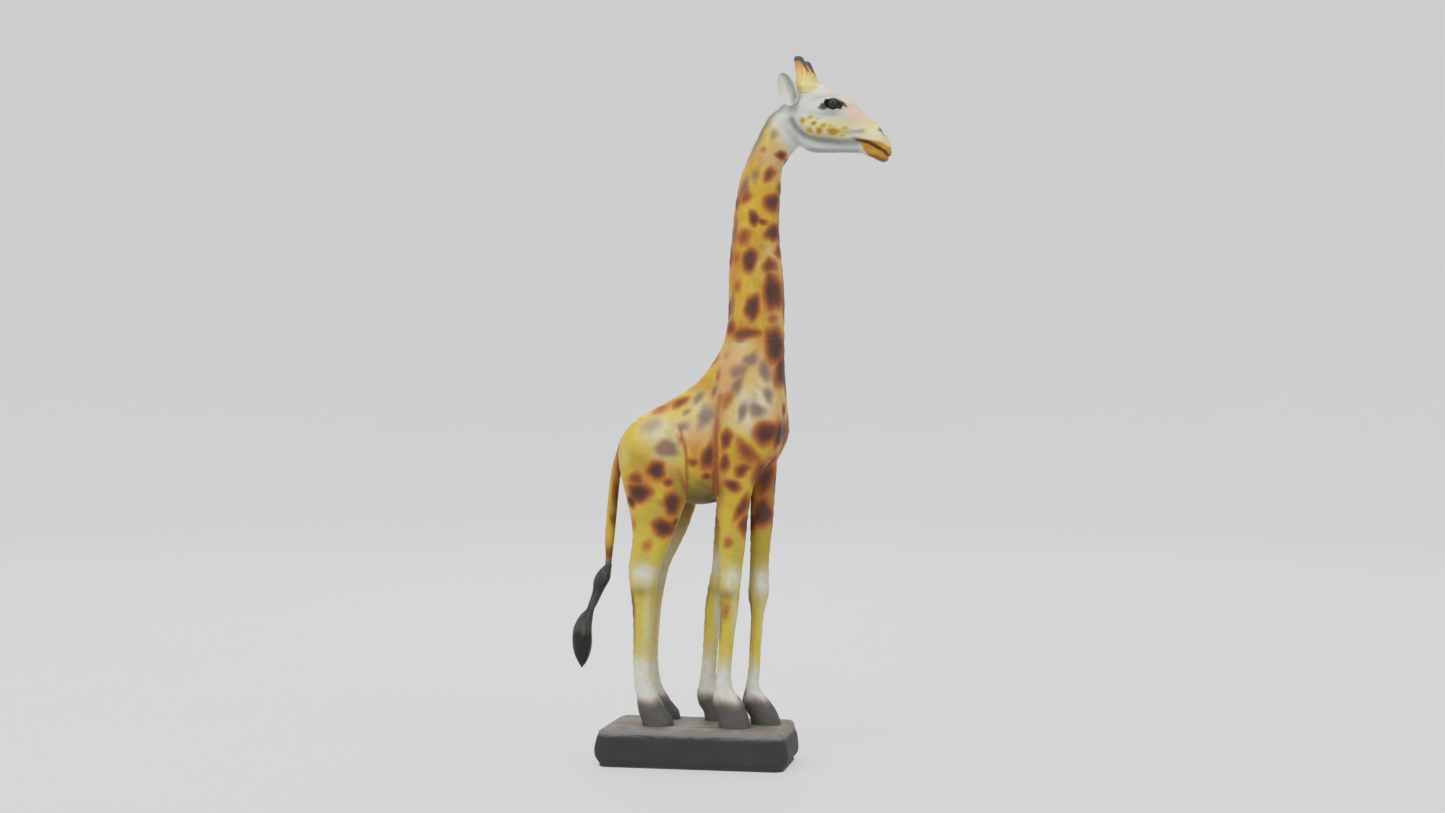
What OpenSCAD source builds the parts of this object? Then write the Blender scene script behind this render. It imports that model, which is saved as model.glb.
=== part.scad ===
// Carved giraffe statue: a torso block with let-in legs, neck, head, ears,
// horns and tail, doweled together and screwed to a wooden plinth.
// Millimetres, +Z up, +X the way the giraffe faces, origin on the underside,
// under the middle of the trunk. Every carved piece is drawn in one drawing frame, and
// built_x, built_y and built_z stretch that drawing to the sizes below.

/* [Plinth] */
// How far the plinth reaches past the foremost hoof
plinth_front_margin = 9.5; // [9.5:0.5:40]
// How far the plinth reaches past the rearmost hoof
plinth_back_margin = 36.5; // [24:0.5:60]
// How far the plinth reaches past the hooves at each side
plinth_side_margin = 7.7; // [7.5:0.1:30]
// Height of the plinth's straight sides, felt included
plinth_height = 28.5; // [20:0.5:45]
// How far the middle of the plinth's top stands above its edges
plinth_crown = 6; // [2:0.5:8]
// Width of the slope along the plinth's two long sides
plinth_side_slope = 7; // [3:0.5:7]
// Length of the slope at the plinth's front end
plinth_front_slope = 9; // [4:0.5:10]
// Length of the slope at the plinth's back end
plinth_back_slope = 16; // [4:0.5:24]
// Radius of the plinth's upright corners
plinth_corner = 9; // [3:0.5:14]
// Thickness of the felt under the plinth
felt_thickness = 1.5; // [1:0.25:3]
// How far the felt stops short of the plinth's edge
felt_inset = 1.5; // [0.5:0.25:4]

/* [Animal] */
// Height of the belly above the plinth
leg_height = 187; // [155:1:225]
// Height from the belly to the joint between torso and neck
body_height = 138; // [115:1:166]
// Height of the neck from that joint to the throat
neck_height = 164.5; // [135:0.5:200]
// Length of the torso from rump to chest
body_length = 144; // [120:1:173]
// Width of the torso at the ribs
body_width = 58; // [48:1:70]
// Length of the face from the throat to the nose
face_length = 73; // [61:1:88]

/* [Joinery] */
// Thickness of the torso's core between the flat seats of the legs
core_thickness = 28; // [23:1:34]
// Diameter of the dowels that hold the legs
leg_dowel_d = 8; // [6:0.5:10]
// Length of the dowels that hold the side legs
leg_dowel_length = 19; // [15:1:23]
// Length of the dowel in the top of the middle leg
middle_dowel_length = 34; // [28:1:40]
// Diameter of the dowel between torso and neck
neck_dowel_d = 12; // [8:0.5:16]
// Length of the dowel between torso and neck
neck_dowel_length = 70; // [50:1:84]
// Diameter of the dowel between neck and head
head_dowel_d = 8; // [6:0.5:10]
// Length of the dowel between neck and head
head_dowel_length = 44; // [30:1:50]
// Gap round and past each dowel, filled with glue
glue_gap = 0.1; // [0.05:0.05:0.3]

/* [Screws] */
// Diameter of the screws through the plinth
screw_d = 4; // [3:0.5:5]
// Diameter of the screw heads
screw_head_d = 8; // [6.5:0.5:10]
// How far each screw reaches into its leg
screw_bite = 22; // [14:1:26]
// Depth of the recess that hides each screw head
screw_recess = 3; // [1.5:0.5:6]
// Gap round the screws in the plinth
screw_clearance = 0.2; // [0.1:0.05:0.5]

/* [Ears, horns and eyes] */
// Length of an ear
ear_length = 31; // [26:0.5:36]
// Width of an ear
ear_width = 18; // [15:0.5:21]
// Thickness of an ear's wall
ear_wall = 2.4; // [1.8:0.1:3]
// Diameter of the round foot by which an ear stands in the head
ear_root_d = 10; // [8:0.5:12]
// Diameter of the peg that holds an ear
ear_peg_d = 6; // [4:0.5:7]
// Length of the peg inside the head
ear_peg_length = 9; // [6:0.5:11]
// Diameter of a horn where it leaves the head
horn_base_d = 14; // [11:0.5:17]
// Gap between the feet of the two horns
horn_gap = 3; // [2:0.5:5]
// Diameter of a horn's rounded tip
horn_tip_d = 7; // [5:0.5:9]
// Diameter of the peg under a horn
horn_peg_d = 6; // [4:0.5:7]
// Length of the peg under a horn
horn_peg_length = 10; // [6:0.5:12]
// Diameter of the glass eyes
eye_d = 9; // [7:0.5:10]

/* [Tail] */
// Diameter of the peg that holds the tail in the rump
tail_peg_d = 5; // [4:0.5:6]
// Length of that peg inside the rump
tail_peg_length = 14; // [8:1:18]
// Diameter of the wire pin between tail and tuft
tuft_pin_d = 2; // [1.5:0.25:2.5]
// Length of that pin
tuft_pin_length = 20; // [14:1:24]

/* [Hidden] */
$fn = 48;

wood_paint = "goldenrod";
pale_paint = "gainsboro";
dark_paint = "dimgray";
tuft_paint = "#2b2b2b";
bare_wood = "burlywood";
steel = "silver";
felt_brown = "saddlebrown";
glass_dark = "#202428";

// Places of the hooves in the drawing
front_leg_y = 19;
hind_leg_y = 19;
middle_leg_y = 4;
hoof_front = 71.5;
hoof_back = -44.5;
hoof_side = 29.8;

// Heights and lengths of the drawing, between which it is stretched
drawn_sole = 33;
drawn_belly = 220;
drawn_withers = 358;
drawn_throat = 522.5;
drawn_face_start = 93;
drawn_face_length = 73;
drawn_body_length = 144;
drawn_body_width = 58;

plinth_top = plinth_height + plinth_crown;
belly_z = plinth_top + leg_height;
withers_z = belly_z + body_height;
throat_z = withers_z + neck_height;
core_half = core_thickness / 2;
plinth_front = built_x(hoof_front) + plinth_front_margin;
plinth_back = built_x(hoof_back) - plinth_back_margin;
plinth_side = built_y(hoof_side) + plinth_side_margin;
plinth_length = plinth_front - plinth_back;
plinth_width = 2 * plinth_side;
far = 400; // longer than any piece, for cutting boxes

function stretch(v, from, to, low, size) = low + (v - from) * size / (to - from);
function built_z(z) =
    z <= drawn_belly ? stretch(z, drawn_sole, drawn_belly, plinth_top, leg_height) :
    z <= drawn_withers ? stretch(z, drawn_belly, drawn_withers, belly_z, body_height) :
    z <= drawn_throat ? stretch(z, drawn_withers, drawn_throat, withers_z, neck_height) :
    throat_z + z - drawn_throat;
function built_x(x) =
    x <= drawn_face_start ? x * body_length / drawn_body_length :
    drawn_face_start * body_length / drawn_body_length
        + (x - drawn_face_start) * face_length / drawn_face_length;
function built_y(y) = y * body_width / drawn_body_width;
function built(p) = [built_x(p[0]), built_y(p[1]), built_z(p[2])];

// ---- Lofts -------------------------------------------------------------
// A station is [back x, back z, front x, front z, middle y, half width]: the
// ring through it lies in the plane of those two points and the Y direction.
// The stations run up a piece or down it, and the walls face out either way.
function station(rows, i) = rows[max(0, min(len(rows) - 1, i))];
function catmull(a, b, c, d, t) =
    0.5 * (2 * b + (c - a) * t + (2 * a - 5 * b + 4 * c - d) * t * t
        + (3 * b - a - 3 * c + d) * t * t * t);
function between(rows, u) =
    let (i = min(floor(u), len(rows) - 2))
    catmull(station(rows, i - 1), rows[i], rows[i + 1], station(rows, i + 2), u - i);
function bent(v, squareness) = sign(v) * pow(abs(v), 2 / squareness);
function ring(s, sides, squareness) =
    let (
        a = [built_x(s[0]), built_z(s[1])],
        b = [built_x(s[2]), built_z(s[3])],
        middle = (a + b) / 2,
        half = (a - b) / 2
    )
    [for (k = [0:sides - 1])
        let (
            along = bent(cos(360 * k / sides), squareness),
            p = middle + half * along
        )
        [p[0], built_y(s[4] + s[5] * bent(sin(360 * k / sides), squareness)), p[1]]];

function reversed(rows) = [for (i = [len(rows) - 1:-1:0]) rows[i]];
function runs_down(rows) =
    let (s = rows[0], e = rows[len(rows) - 1])
    cross([e[0] - s[0], e[1] - s[1]], [s[2] - s[0], s[3] - s[1]]) > 0;

module loft(stations, steps = 2, sides = 20, squareness = 2.3) {
    rows = runs_down(stations) ? reversed(stations) : stations;
    count = (len(rows) - 1) * steps;
    points = [for (j = [0:count]) each ring(between(rows, j / steps), sides, squareness)];
    walls = [for (j = [0:count - 1], k = [0:sides - 1])
        let (a = j * sides + k, b = j * sides + (k + 1) % sides)
        each [[a, b, b + sides], [a, b + sides, a + sides]]];
    first = [for (k = [0:sides - 1]) sides - 1 - k];
    last = [for (k = [0:sides - 1]) count * sides + k];
    polyhedron(points, concat([first], walls, [last]));
}

// A rod of one diameter, centred at p, along the direction d
module rod(p, d, diameter, length) {
    translate(p)
        rotate([0, acos(d[2] / norm(d)), atan2(d[1], d[0])])
            cylinder(d = diameter, h = length, center = true);
}

// ---- Stations of the carved pieces, in the drawing frame -----------------
torso_rows = [
    [-67, 268, -67, 253, 0, 7],
    [-65.5, 276, -65, 243, 0, 13],
    [-61, 283.5, -60, 234, 0, 19],
    [-54, 291, -50, 227, 0, 24],
    [-40, 300, -35, 222, 0, 27],
    [-20, 311, -14, 220, 0, 28.5],
    [-5, 320.5, 10, 220.5, 0, 29],
    [6, 330.5, 32, 228, 0, 29],
    [13, 340, 52, 244, 0, 28],
    [17, 346, 67, 262, 0, 26.5],
    [19.5, 350, 76, 284, 0, 24],
    [21, 353, 77, 306, 0, 22],
    [22.3, 356, 75.5, 332, 0, 20.5],
    [23.5, 358, 75, 358, 0, 20]
];
neck_rows = [
    [23.5, 358, 75, 358, 0, 20],
    [26.5, 372, 75, 372, 0, 18.8],
    [28.3, 395, 75, 395, 0, 17.5],
    [28.8, 420, 73.5, 420, 0, 16.2],
    [31, 446, 71, 444, 0, 15.2],
    [34, 472, 70.5, 466, 0, 14.5],
    [38, 495, 72, 486, 0, 14.2],
    [44.5, 513, 73, 501, 0, 14],
    [53.5, 532, 77.5, 513, 0, 14],
    [64, 551, 87.5, 524, 0, 14.5]
];
head_rows = [
    [64, 551, 87.5, 524, 0, 14.5],
    [69.5, 555.5, 95, 521, 0, 15.6],
    [75.5, 560.5, 101.5, 519, 0, 16.8],
    [83, 569, 107, 518.4, 0, 17.8],
    [94, 576.5, 112, 518.4, 0, 18.3],
    [108, 574.5, 118, 518.2, 0, 18],
    [117, 570, 124, 518.2, 0, 17],
    [126, 564.5, 130, 518, 0, 14.8],
    [134, 559, 136, 517.8, 0, 12.8],
    [142, 552.5, 142, 517, 0, 11.6],
    [149, 546, 148, 514.6, 0, 11],
    [155.5, 540, 153, 512.3, 0, 10.6],
    [161, 534, 157.5, 510.8, 0, 9.8],
    [164.5, 528, 161, 510.3, 0, 8],
    [166, 522.5, 163.5, 511.5, 0, 5],
    [166, 519, 165, 514, 0, 2]
];
shoulder_rows = [
    [42, 350, 54, 350, 18, 4],
    [33, 344, 61, 344, 18, 7.5],
    [26, 334, 67.5, 334, 18, 10],
    [20.5, 318, 72, 318, 18, 11.8],
    [17.5, 300, 75.5, 298, 18, 13],
    [16.5, 283, 76, 280, 18.5, 13.2],
    [17, 267, 70, 264, 19, 12.8],
    [18, 251, 60, 249, 19, 12]
];
right_front_rows = concat(shoulder_rows, [
    [19.5, 236, 52, 236, front_leg_y, 11.4],
    [21, 214, 47.5, 214, front_leg_y, 10.6],
    [22.5, 190, 45, 190, front_leg_y, 9.6],
    [23.5, 166, 42, 166, front_leg_y, 9],
    [23, 148, 40, 148, front_leg_y, 9],
    [22.5, 132, 38.5, 132, front_leg_y, 8.2],
    [21.5, 108, 35, 108, front_leg_y, 7.2],
    [20.5, 82, 32.8, 82, front_leg_y, 6.9],
    [18.8, 64, 34, 66, front_leg_y, 7.6],
    [17.5, 54, 41, 56, front_leg_y, 8.8],
    [19.5, 46, 45.5, 47, front_leg_y, 9.6],
    [22, 39, 48, 39, front_leg_y, 10.3],
    [22.5, drawn_sole, 49.5, drawn_sole, front_leg_y, hoof_side - front_leg_y]
]);
left_front_rows = concat(shoulder_rows, [
    [15.5, 236, 46, 236, front_leg_y, 11.4],
    [13, 214, 37, 214, front_leg_y, 10.6],
    [11, 190, 31, 190, front_leg_y, 9.6],
    [9.5, 166, 26.5, 166, front_leg_y, 9],
    [6.5, 150, 23.5, 150, front_leg_y, 9],
    [3.5, 132, 19.5, 132, front_leg_y, 8.2],
    [2, 108, 15.5, 108, front_leg_y, 7.2],
    [0.5, 82, 13, 82, front_leg_y, 6.9],
    [-2, 64, 13, 66, front_leg_y, 7.6],
    [-4, 54, 18, 56, front_leg_y, 8.8],
    [-2, 46, 23, 47, front_leg_y, 9.6],
    [2, 39, 26, 39, front_leg_y, 10.3],
    [3, drawn_sole, 27.5, drawn_sole, front_leg_y, hoof_side - front_leg_y]
]);
middle_front_rows = [
    [47, 268, 68, 268, middle_leg_y, 8],
    [46, 252, 68, 252, middle_leg_y, 9.4],
    [46, 230, 66.5, 230, middle_leg_y, 9.4],
    [45.5, 204, 64.5, 204, middle_leg_y, 9.2],
    [45.5, 176, 61.5, 176, middle_leg_y, 8.8],
    [45, 156, 61, 156, middle_leg_y, 9],
    [44, 142, 60, 142, middle_leg_y, 8.6],
    [45.5, 126, 56.5, 126, middle_leg_y, 7],
    [45, 100, 54.5, 100, middle_leg_y, 6.6],
    [44, 80, 53.5, 80, middle_leg_y, 6.6],
    [41, 62, 53, 64, middle_leg_y, 7.4],
    [38.5, 52, 60, 54, middle_leg_y, 8.8],
    [41, 45, 66, 46, middle_leg_y, 9.6],
    [45, 39, 70, 39, middle_leg_y, 10.2],
    [46, drawn_sole, hoof_front, drawn_sole, middle_leg_y, 10.6]
];
haunch_rows = [
    [-48, 291, -35, 291, 16, 4],
    [-56, 285, -26, 284, 16, 8],
    [-61, 276, -19, 274, 16.5, 11],
    [-63.5, 263, -12.5, 261, 17, 12.8],
    [-63, 249, -8, 248, 17.5, 13.4],
    [-60, 234, -5.5, 234, 18, 13]
];
right_hind_rows = concat(haunch_rows, [
    [-56, 219, -8, 219, hind_leg_y, 12],
    [-53, 203, -14, 203, hind_leg_y, 11],
    [-52.5, 188, -19.5, 188, hind_leg_y, 10.4],
    [-55.5, 167, -28, 167, hind_leg_y, 9.6],
    [-54.5, 151, -31.5, 151, hind_leg_y, 9.2],
    [-52.5, 134, -33.5, 134, hind_leg_y, 8.6],
    [-51.5, 112, -35, 112, hind_leg_y, 7.8],
    [-51.5, 86, -35.5, 86, hind_leg_y, 7.4],
    [-50.5, 66, -33, 66, hind_leg_y, 7.8],
    [-48.5, 56, -28.5, 54, hind_leg_y, 8.8],
    [-47.5, 47, -23, 45, hind_leg_y, 9.6],
    [-45, 39, -18.5, 39, hind_leg_y, 10.3],
    [-43, drawn_sole, -17, drawn_sole, hind_leg_y, hoof_side - hind_leg_y]
]);
left_hind_rows = concat(haunch_rows, [
    [-57, 219, -8.5, 219, hind_leg_y, 12],
    [-55, 203, -14, 203, hind_leg_y, 11],
    [-54.5, 188, -20, 188, hind_leg_y, 10.4],
    [-56.5, 167, -28, 167, hind_leg_y, 9.6],
    [-56, 151, -32.5, 151, hind_leg_y, 9.2],
    [-54.5, 134, -35.5, 134, hind_leg_y, 8.6],
    [-54, 112, -38, 112, hind_leg_y, 7.8],
    [-54, 86, -39, 86, hind_leg_y, 7.4],
    [-53, 66, -37, 66, hind_leg_y, 7.8],
    [-51, 56, -32, 54, hind_leg_y, 8.8],
    [-49.5, 47, -25.5, 45, hind_leg_y, 9.6],
    [-46.5, 39, -20.5, 39, hind_leg_y, 10.3],
    [hoof_back, drawn_sole, -19, drawn_sole, hind_leg_y, hoof_side - hind_leg_y]
]);
tail_end = 166;
tail_rows = [
    [-63, 281, -62, 269, 0, 4.6],
    [-67.5, 274, -64, 264, 0, 4.6],
    [-71.5, 263, -65, 258, 0, 4.4],
    [-75.5, 249, -67.5, 247, 0, 4.2],
    [-78, 230, -69.5, 230, 0, 4.1],
    [-80, 208, -71.5, 208, 0, 4],
    [-81.3, 190, -73.3, 190, 0, 3.6],
    [-80.8, 176, -75, 176, 0, 3],
    [-81.2, tail_end, -76, tail_end, 0, 2.7]
];
tuft_rows = [
    [-82, tail_end, -75.6, tail_end, 0, 3.2],
    [-88, 160, -76.4, 161, 0, 5],
    [-91.3, 153, -77.5, 154, 0, 6],
    [-92.2, 144, -82.5, 145, 0, 4.8],
    [-95.5, 134, -88, 134, 0, 3.6],
    [-98, 128, -91.2, 128, 0, 3.5],
    [-104, 122, -92.5, 122, 0, 5],
    [-109, 112, -93.6, 112, 0, 6.8],
    [-110, 100, -93.2, 100, 0, 7],
    [-108.8, 90, -95, 90, 0, 5.8],
    [-105, 82, -98.5, 82, 0, 3],
    [-103, 79, -101, 79, 0, 1]
];

// ---- Places of the fixings, in the drawing frame -------------------------
front_dowel_spots = [[46, 305], [40, 262]];
hind_dowel_spots = [[-45, 266], [-27, 246]];
middle_dowel_spot = [57, middle_leg_y, 268];
neck_joint = [49, 0, drawn_withers];
head_joint = [75.75, 0, 537.5];
head_joint_normal = [27, 0, 23.5];
tail_peg_start = [-62.5, 0, 275];
tail_peg_direction = [-14, 0, 6];
tuft_pin_spot = [-78.6, 0, tail_end];
screw_spots = [
    [30, -front_leg_y], [9, front_leg_y], [50.5, middle_leg_y],
    [-37, -hind_leg_y], [-39, hind_leg_y]
];
ear_spot = [81.5, 21, 570];
ear_peg_spot = [84, 20, 562];
ear_seat_y = 14.5;
eye_spot = [118, 13.6, 557];
horn_roots = [[95, 572], [98, 572]];
horn_tips = [[88.8, 596.5], [94, 594.5]];
horn_spread = 3.5; // how much further apart the tips are than the feet, each side
ear_lean = 20;
ear_splay = 18;

// ---- Plinth --------------------------------------------------------------
module rounded_block(length, width, height, corner) {
    cube([length - 2 * corner, width, height], center = true);
    cube([length, width - 2 * corner, height], center = true);
    for (x = [-1, 1], y = [-1, 1])
        translate([x * (length / 2 - corner), y * (width / 2 - corner), 0])
            cylinder(r = corner, h = height, center = true);
}

module sloped_top(low, high, low_slope, high_slope) {
    polygon([
        [low, 0], [high, 0], [high, plinth_height], [high - high_slope, plinth_top],
        [low + low_slope, plinth_top], [low, plinth_height]
    ]);
}

module at_plinth(z) {
    translate([(plinth_front + plinth_back) / 2, 0, z])
        children();
}

module each_screw_spot() {
    for (s = screw_spots)
        translate([built_x(s[0]), built_y(s[1]), 0])
            children();
}

module plinth() {
    color(dark_paint)
    difference() {
        intersection() {
            at_plinth(far / 2 + felt_thickness)
                rounded_block(plinth_length, plinth_width, far, plinth_corner);
            rotate([90, 0, 0])
                linear_extrude(far, center = true)
                    sloped_top(plinth_back, plinth_front, plinth_back_slope, plinth_front_slope);
            rotate([90, 0, 90])
                linear_extrude(far, center = true)
                    sloped_top(-plinth_side, plinth_side, plinth_side_slope, plinth_side_slope);
        }
        each_screw_spot() {
            cylinder(d = screw_d + 2 * screw_clearance, h = far, center = true);
            cylinder(d = screw_head_d + 2 * screw_clearance,
                h = 2 * (felt_thickness + screw_recess));
            translate([0, 0, felt_thickness + screw_recess])
                cylinder(d1 = screw_head_d + 2 * screw_clearance,
                    d2 = screw_d + 2 * screw_clearance, h = screw_head_d - screw_d);
        }
    }
}

module base_felt() {
    color(felt_brown)
    at_plinth(felt_thickness / 2)
        rounded_block(plinth_length - 2 * felt_inset, plinth_width - 2 * felt_inset,
            felt_thickness, plinth_corner);
}

module hoof_screws() {
    color(steel)
    each_screw_spot()
        translate([0, 0, felt_thickness + screw_recess]) {
            cylinder(d1 = screw_head_d, d2 = screw_d, h = (screw_head_d - screw_d) / 2);
            cylinder(d = screw_d, h = plinth_top + screw_bite - felt_thickness - screw_recess);
        }
}

module screw_holes() {
    each_screw_spot()
        translate([0, 0, plinth_top - 1])
            cylinder(d = screw_d, h = screw_bite + 1 + glue_gap);
}

// ---- Dowels ----------------------------------------------------------------
// side is -1 on the giraffe's right and 1 on its left
module side_dowels(spots, side, gap = 0) {
    for (s = spots)
        translate([built_x(s[0]), side * core_half, built_z(s[1])])
            rotate([90, 0, 0])
                cylinder(d = leg_dowel_d + 2 * gap, h = leg_dowel_length + 2 * gap, center = true);
}

module leg_dowels() {
    color(bare_wood) {
        side_dowels(front_dowel_spots, -1);
        side_dowels(front_dowel_spots, 1);
        side_dowels(hind_dowel_spots, -1);
        side_dowels(hind_dowel_spots, 1);
    }
}

module middle_leg_dowel(gap = 0) {
    color(bare_wood)
    rod(built(middle_dowel_spot), [0, 0, 1], leg_dowel_d + 2 * gap, middle_dowel_length + 2 * gap);
}

module neck_dowel(gap = 0) {
    color(bare_wood)
    rod(built(neck_joint), [0, 0, 1], neck_dowel_d + 2 * gap, neck_dowel_length + 2 * gap);
}

module head_dowel(gap = 0) {
    color(bare_wood)
    rod(built(head_joint), head_joint_normal, head_dowel_d + 2 * gap, head_dowel_length + 2 * gap);
}

module tuft_pin(gap = 0) {
    color(steel)
    rod(built(tuft_pin_spot), [0, 0, 1], tuft_pin_d + 2 * gap, tuft_pin_length + 2 * gap);
}

// ---- Carved pieces -----------------------------------------------------------
module torso_core() {
    translate([-far / 2, -core_half, belly_z])
        cube([far, core_thickness, far]);
}

module side_leg_blank(rows, side) {
    difference() {
        scale_side(side) loft(rows);
        torso_core();
    }
}

module scale_side(side) {
    if (side < 0) mirror([0, 1, 0]) children();
    else children();
}

module tail_peg(gap = 0) {
    start = built(tail_peg_start);
    direction = tail_peg_direction / norm(tail_peg_direction);
    reach = tail_peg_length + gap;
    rod(start - direction * reach / 2, direction, tail_peg_d + 2 * gap, reach);
}

module torso() {
    color(wood_paint)
    difference() {
        loft(torso_rows, sides = 28);
        side_leg_blank(right_front_rows, -1);
        side_leg_blank(left_front_rows, 1);
        side_leg_blank(right_hind_rows, -1);
        side_leg_blank(left_hind_rows, 1);
        loft(middle_front_rows);
        loft(tail_rows, sides = 12);
        tail_peg(glue_gap);
        side_dowels(front_dowel_spots, -1, glue_gap);
        side_dowels(front_dowel_spots, 1, glue_gap);
        side_dowels(hind_dowel_spots, -1, glue_gap);
        side_dowels(hind_dowel_spots, 1, glue_gap);
        middle_leg_dowel(glue_gap);
        neck_dowel(glue_gap);
    }
}

module side_leg(rows, spots, side) {
    color(wood_paint)
    difference() {
        side_leg_blank(rows, side);
        side_dowels(spots, side, glue_gap);
        screw_holes();
    }
}

module middle_front_leg() {
    color(wood_paint)
    difference() {
        loft(middle_front_rows);
        middle_leg_dowel(glue_gap);
        screw_holes();
    }
}

module neck() {
    color(wood_paint)
    difference() {
        loft(neck_rows, sides = 24);
        neck_dowel(glue_gap);
        head_dowel(glue_gap);
    }
}

module head() {
    color(pale_paint)
    difference() {
        loft(head_rows, sides = 24);
        head_dowel(glue_gap);
        for (side = [-1, 1]) {
            ear_root(side, glue_gap);
            eye(side, glue_gap);
            horn_seat(side, glue_gap);
        }
    }
}

// ---- Ears, horns and eyes ------------------------------------------------------
module ear_root(side, gap = 0) {
    spot = built(ear_peg_spot);
    seat = built_y(ear_seat_y) - gap;
    reach = ear_peg_length + gap;
    rod([spot[0], side * (spot[1] + seat) / 2, spot[2]], [0, 1, 0],
        ear_root_d + 2 * gap, spot[1] - seat);
    rod([spot[0], side * (seat - reach / 2), spot[2]], [0, 1, 0],
        ear_peg_d + 2 * gap, reach);
}

// The ear as a cupped leaf: its outline cut from a shell of one radius
module ear_leaf() {
    cup_r = ear_length * 0.8;
    intersection() {
        rotate([90, 0, 0])
            linear_extrude(far, center = true)
                scale([ear_width / ear_length, 1])
                    circle(d = ear_length);
        difference() {
            translate([0, -cup_r + ear_wall, 0]) sphere(r = cup_r);
            translate([0, -cup_r, 0]) sphere(r = cup_r);
        }
    }
}

module ear(side) {
    spot = built(ear_spot);
    color(pale_paint) {
        scale_side(side)
            translate(spot)
                rotate([0, -ear_lean, ear_splay])
                    mirror([0, 1, 0]) ear_leaf();
        ear_root(side);
    }
}

// The near and far horns lean a little differently: item 0 is the right one
function horn_point(points, side, y) =
    let (p = points[side < 0 ? 0 : 1])
    [built_x(p[0]), side * y, built_z(p[1])];
function horn_root(side) = horn_point(horn_roots, side, (horn_base_d + horn_gap) / 2);
function horn_tip(side) =
    horn_point(horn_tips, side, (horn_base_d + horn_gap) / 2 + horn_spread);

module horn_seat(side, gap = 0) {
    root = horn_root(side);
    direction = (horn_tip(side) - root) / norm(horn_tip(side) - root);
    rod(root + direction * horn_base_d / 2, direction, horn_base_d + 2 * gap, horn_base_d);
    rod(root - direction * (horn_peg_length + gap) / 2, direction,
        horn_peg_d + 2 * gap, horn_peg_length + gap);
}

// A horn is turned in one piece with its peg
module horn(side) {
    root = horn_root(side);
    run = horn_tip(side) - root;
    color(wood_paint)
    translate(root)
        rotate([0, acos(run[2] / norm(run)), atan2(run[1], run[0])])
            rotate_extrude()
                polygon(concat(
                    [
                        [0, -horn_peg_length], [horn_peg_d / 2, -horn_peg_length],
                        [horn_peg_d / 2, 0], [horn_base_d / 2, 0]
                    ],
                    [for (a = [0:15:90]) [cos(a), sin(a)] * horn_tip_d / 2 + [0, norm(run)]]
                ));
}

module eye(side, gap = 0) {
    color(glass_dark)
    translate([built_x(eye_spot[0]), side * built_y(eye_spot[1]), built_z(eye_spot[2])])
        sphere(d = eye_d + 2 * gap);
}

module tail() {
    color(wood_paint)
    difference() {
        union() {
            loft(tail_rows, sides = 12);
            tail_peg();
        }
        tuft_pin(glue_gap);
    }
}

module tail_tuft() {
    color(tuft_paint)
    difference() {
        loft(tuft_rows, sides = 14);
        tuft_pin(glue_gap);
    }
}

plinth();
base_felt();
torso();
neck();
head();
ear(-1);  // right_ear
ear(1);  // left_ear
horn(-1);  // right_horn
horn(1);  // left_horn
eye(-1);  // right_eye
eye(1);  // left_eye
side_leg(right_front_rows, front_dowel_spots, -1);  // right_front_leg
side_leg(left_front_rows, front_dowel_spots, 1);  // left_front_leg
middle_front_leg();
side_leg(right_hind_rows, hind_dowel_spots, -1);  // right_hind_leg
side_leg(left_hind_rows, hind_dowel_spots, 1);  // left_hind_leg
tail();
tail_tuft();
tuft_pin();
neck_dowel();
head_dowel();
leg_dowels();
middle_leg_dowel();
hoof_screws();
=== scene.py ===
"""A carved and painted giraffe on its plinth, built round its CAD solids.

The tables below are in millimetres of one side-on drawing: the giraffe faces
+X, its right flank is at -Y and its soles stand at z 33. Every carved surface
is a stack of rings. A ring is a superellipse, which runs from a point on the
piece's back outline to a point on its front outline and is as wide as its row
says. Bumps and grooves then move the surface along its normals, and place()
stretches the drawing onto the CAD boxes, in metres.
"""
import math

import bpy
import mathutils
import numpy as np
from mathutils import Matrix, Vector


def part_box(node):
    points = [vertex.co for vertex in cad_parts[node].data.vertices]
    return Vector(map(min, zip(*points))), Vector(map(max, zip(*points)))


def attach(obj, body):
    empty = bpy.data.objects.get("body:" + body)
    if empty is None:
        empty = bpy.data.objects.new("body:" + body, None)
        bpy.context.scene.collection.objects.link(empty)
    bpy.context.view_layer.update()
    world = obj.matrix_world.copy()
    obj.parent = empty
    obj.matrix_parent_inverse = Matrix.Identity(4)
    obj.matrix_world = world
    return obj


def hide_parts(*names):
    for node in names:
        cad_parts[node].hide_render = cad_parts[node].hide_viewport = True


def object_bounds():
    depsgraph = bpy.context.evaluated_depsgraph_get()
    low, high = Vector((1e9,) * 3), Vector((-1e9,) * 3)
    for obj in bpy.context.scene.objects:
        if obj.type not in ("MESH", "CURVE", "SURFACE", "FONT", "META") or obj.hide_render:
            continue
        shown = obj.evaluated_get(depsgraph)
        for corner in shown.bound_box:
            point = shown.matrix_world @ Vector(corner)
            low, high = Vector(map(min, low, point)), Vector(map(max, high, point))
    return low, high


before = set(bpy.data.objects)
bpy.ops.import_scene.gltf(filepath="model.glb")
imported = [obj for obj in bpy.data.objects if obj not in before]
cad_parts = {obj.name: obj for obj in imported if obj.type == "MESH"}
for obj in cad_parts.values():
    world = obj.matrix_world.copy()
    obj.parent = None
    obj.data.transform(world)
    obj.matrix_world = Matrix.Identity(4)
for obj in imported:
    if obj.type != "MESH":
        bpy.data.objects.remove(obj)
CAD_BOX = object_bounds()

bl_info = {
    "name": "Carved Giraffe",
    "version": (1, 0, 0),
    "blender": (4, 5, 0),
    "location": "View3D > Sidebar > Giraffe",
    "description": "Builds a carved and painted giraffe and its plinth round their CAD solids",
    "category": "Mesh",
}

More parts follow.
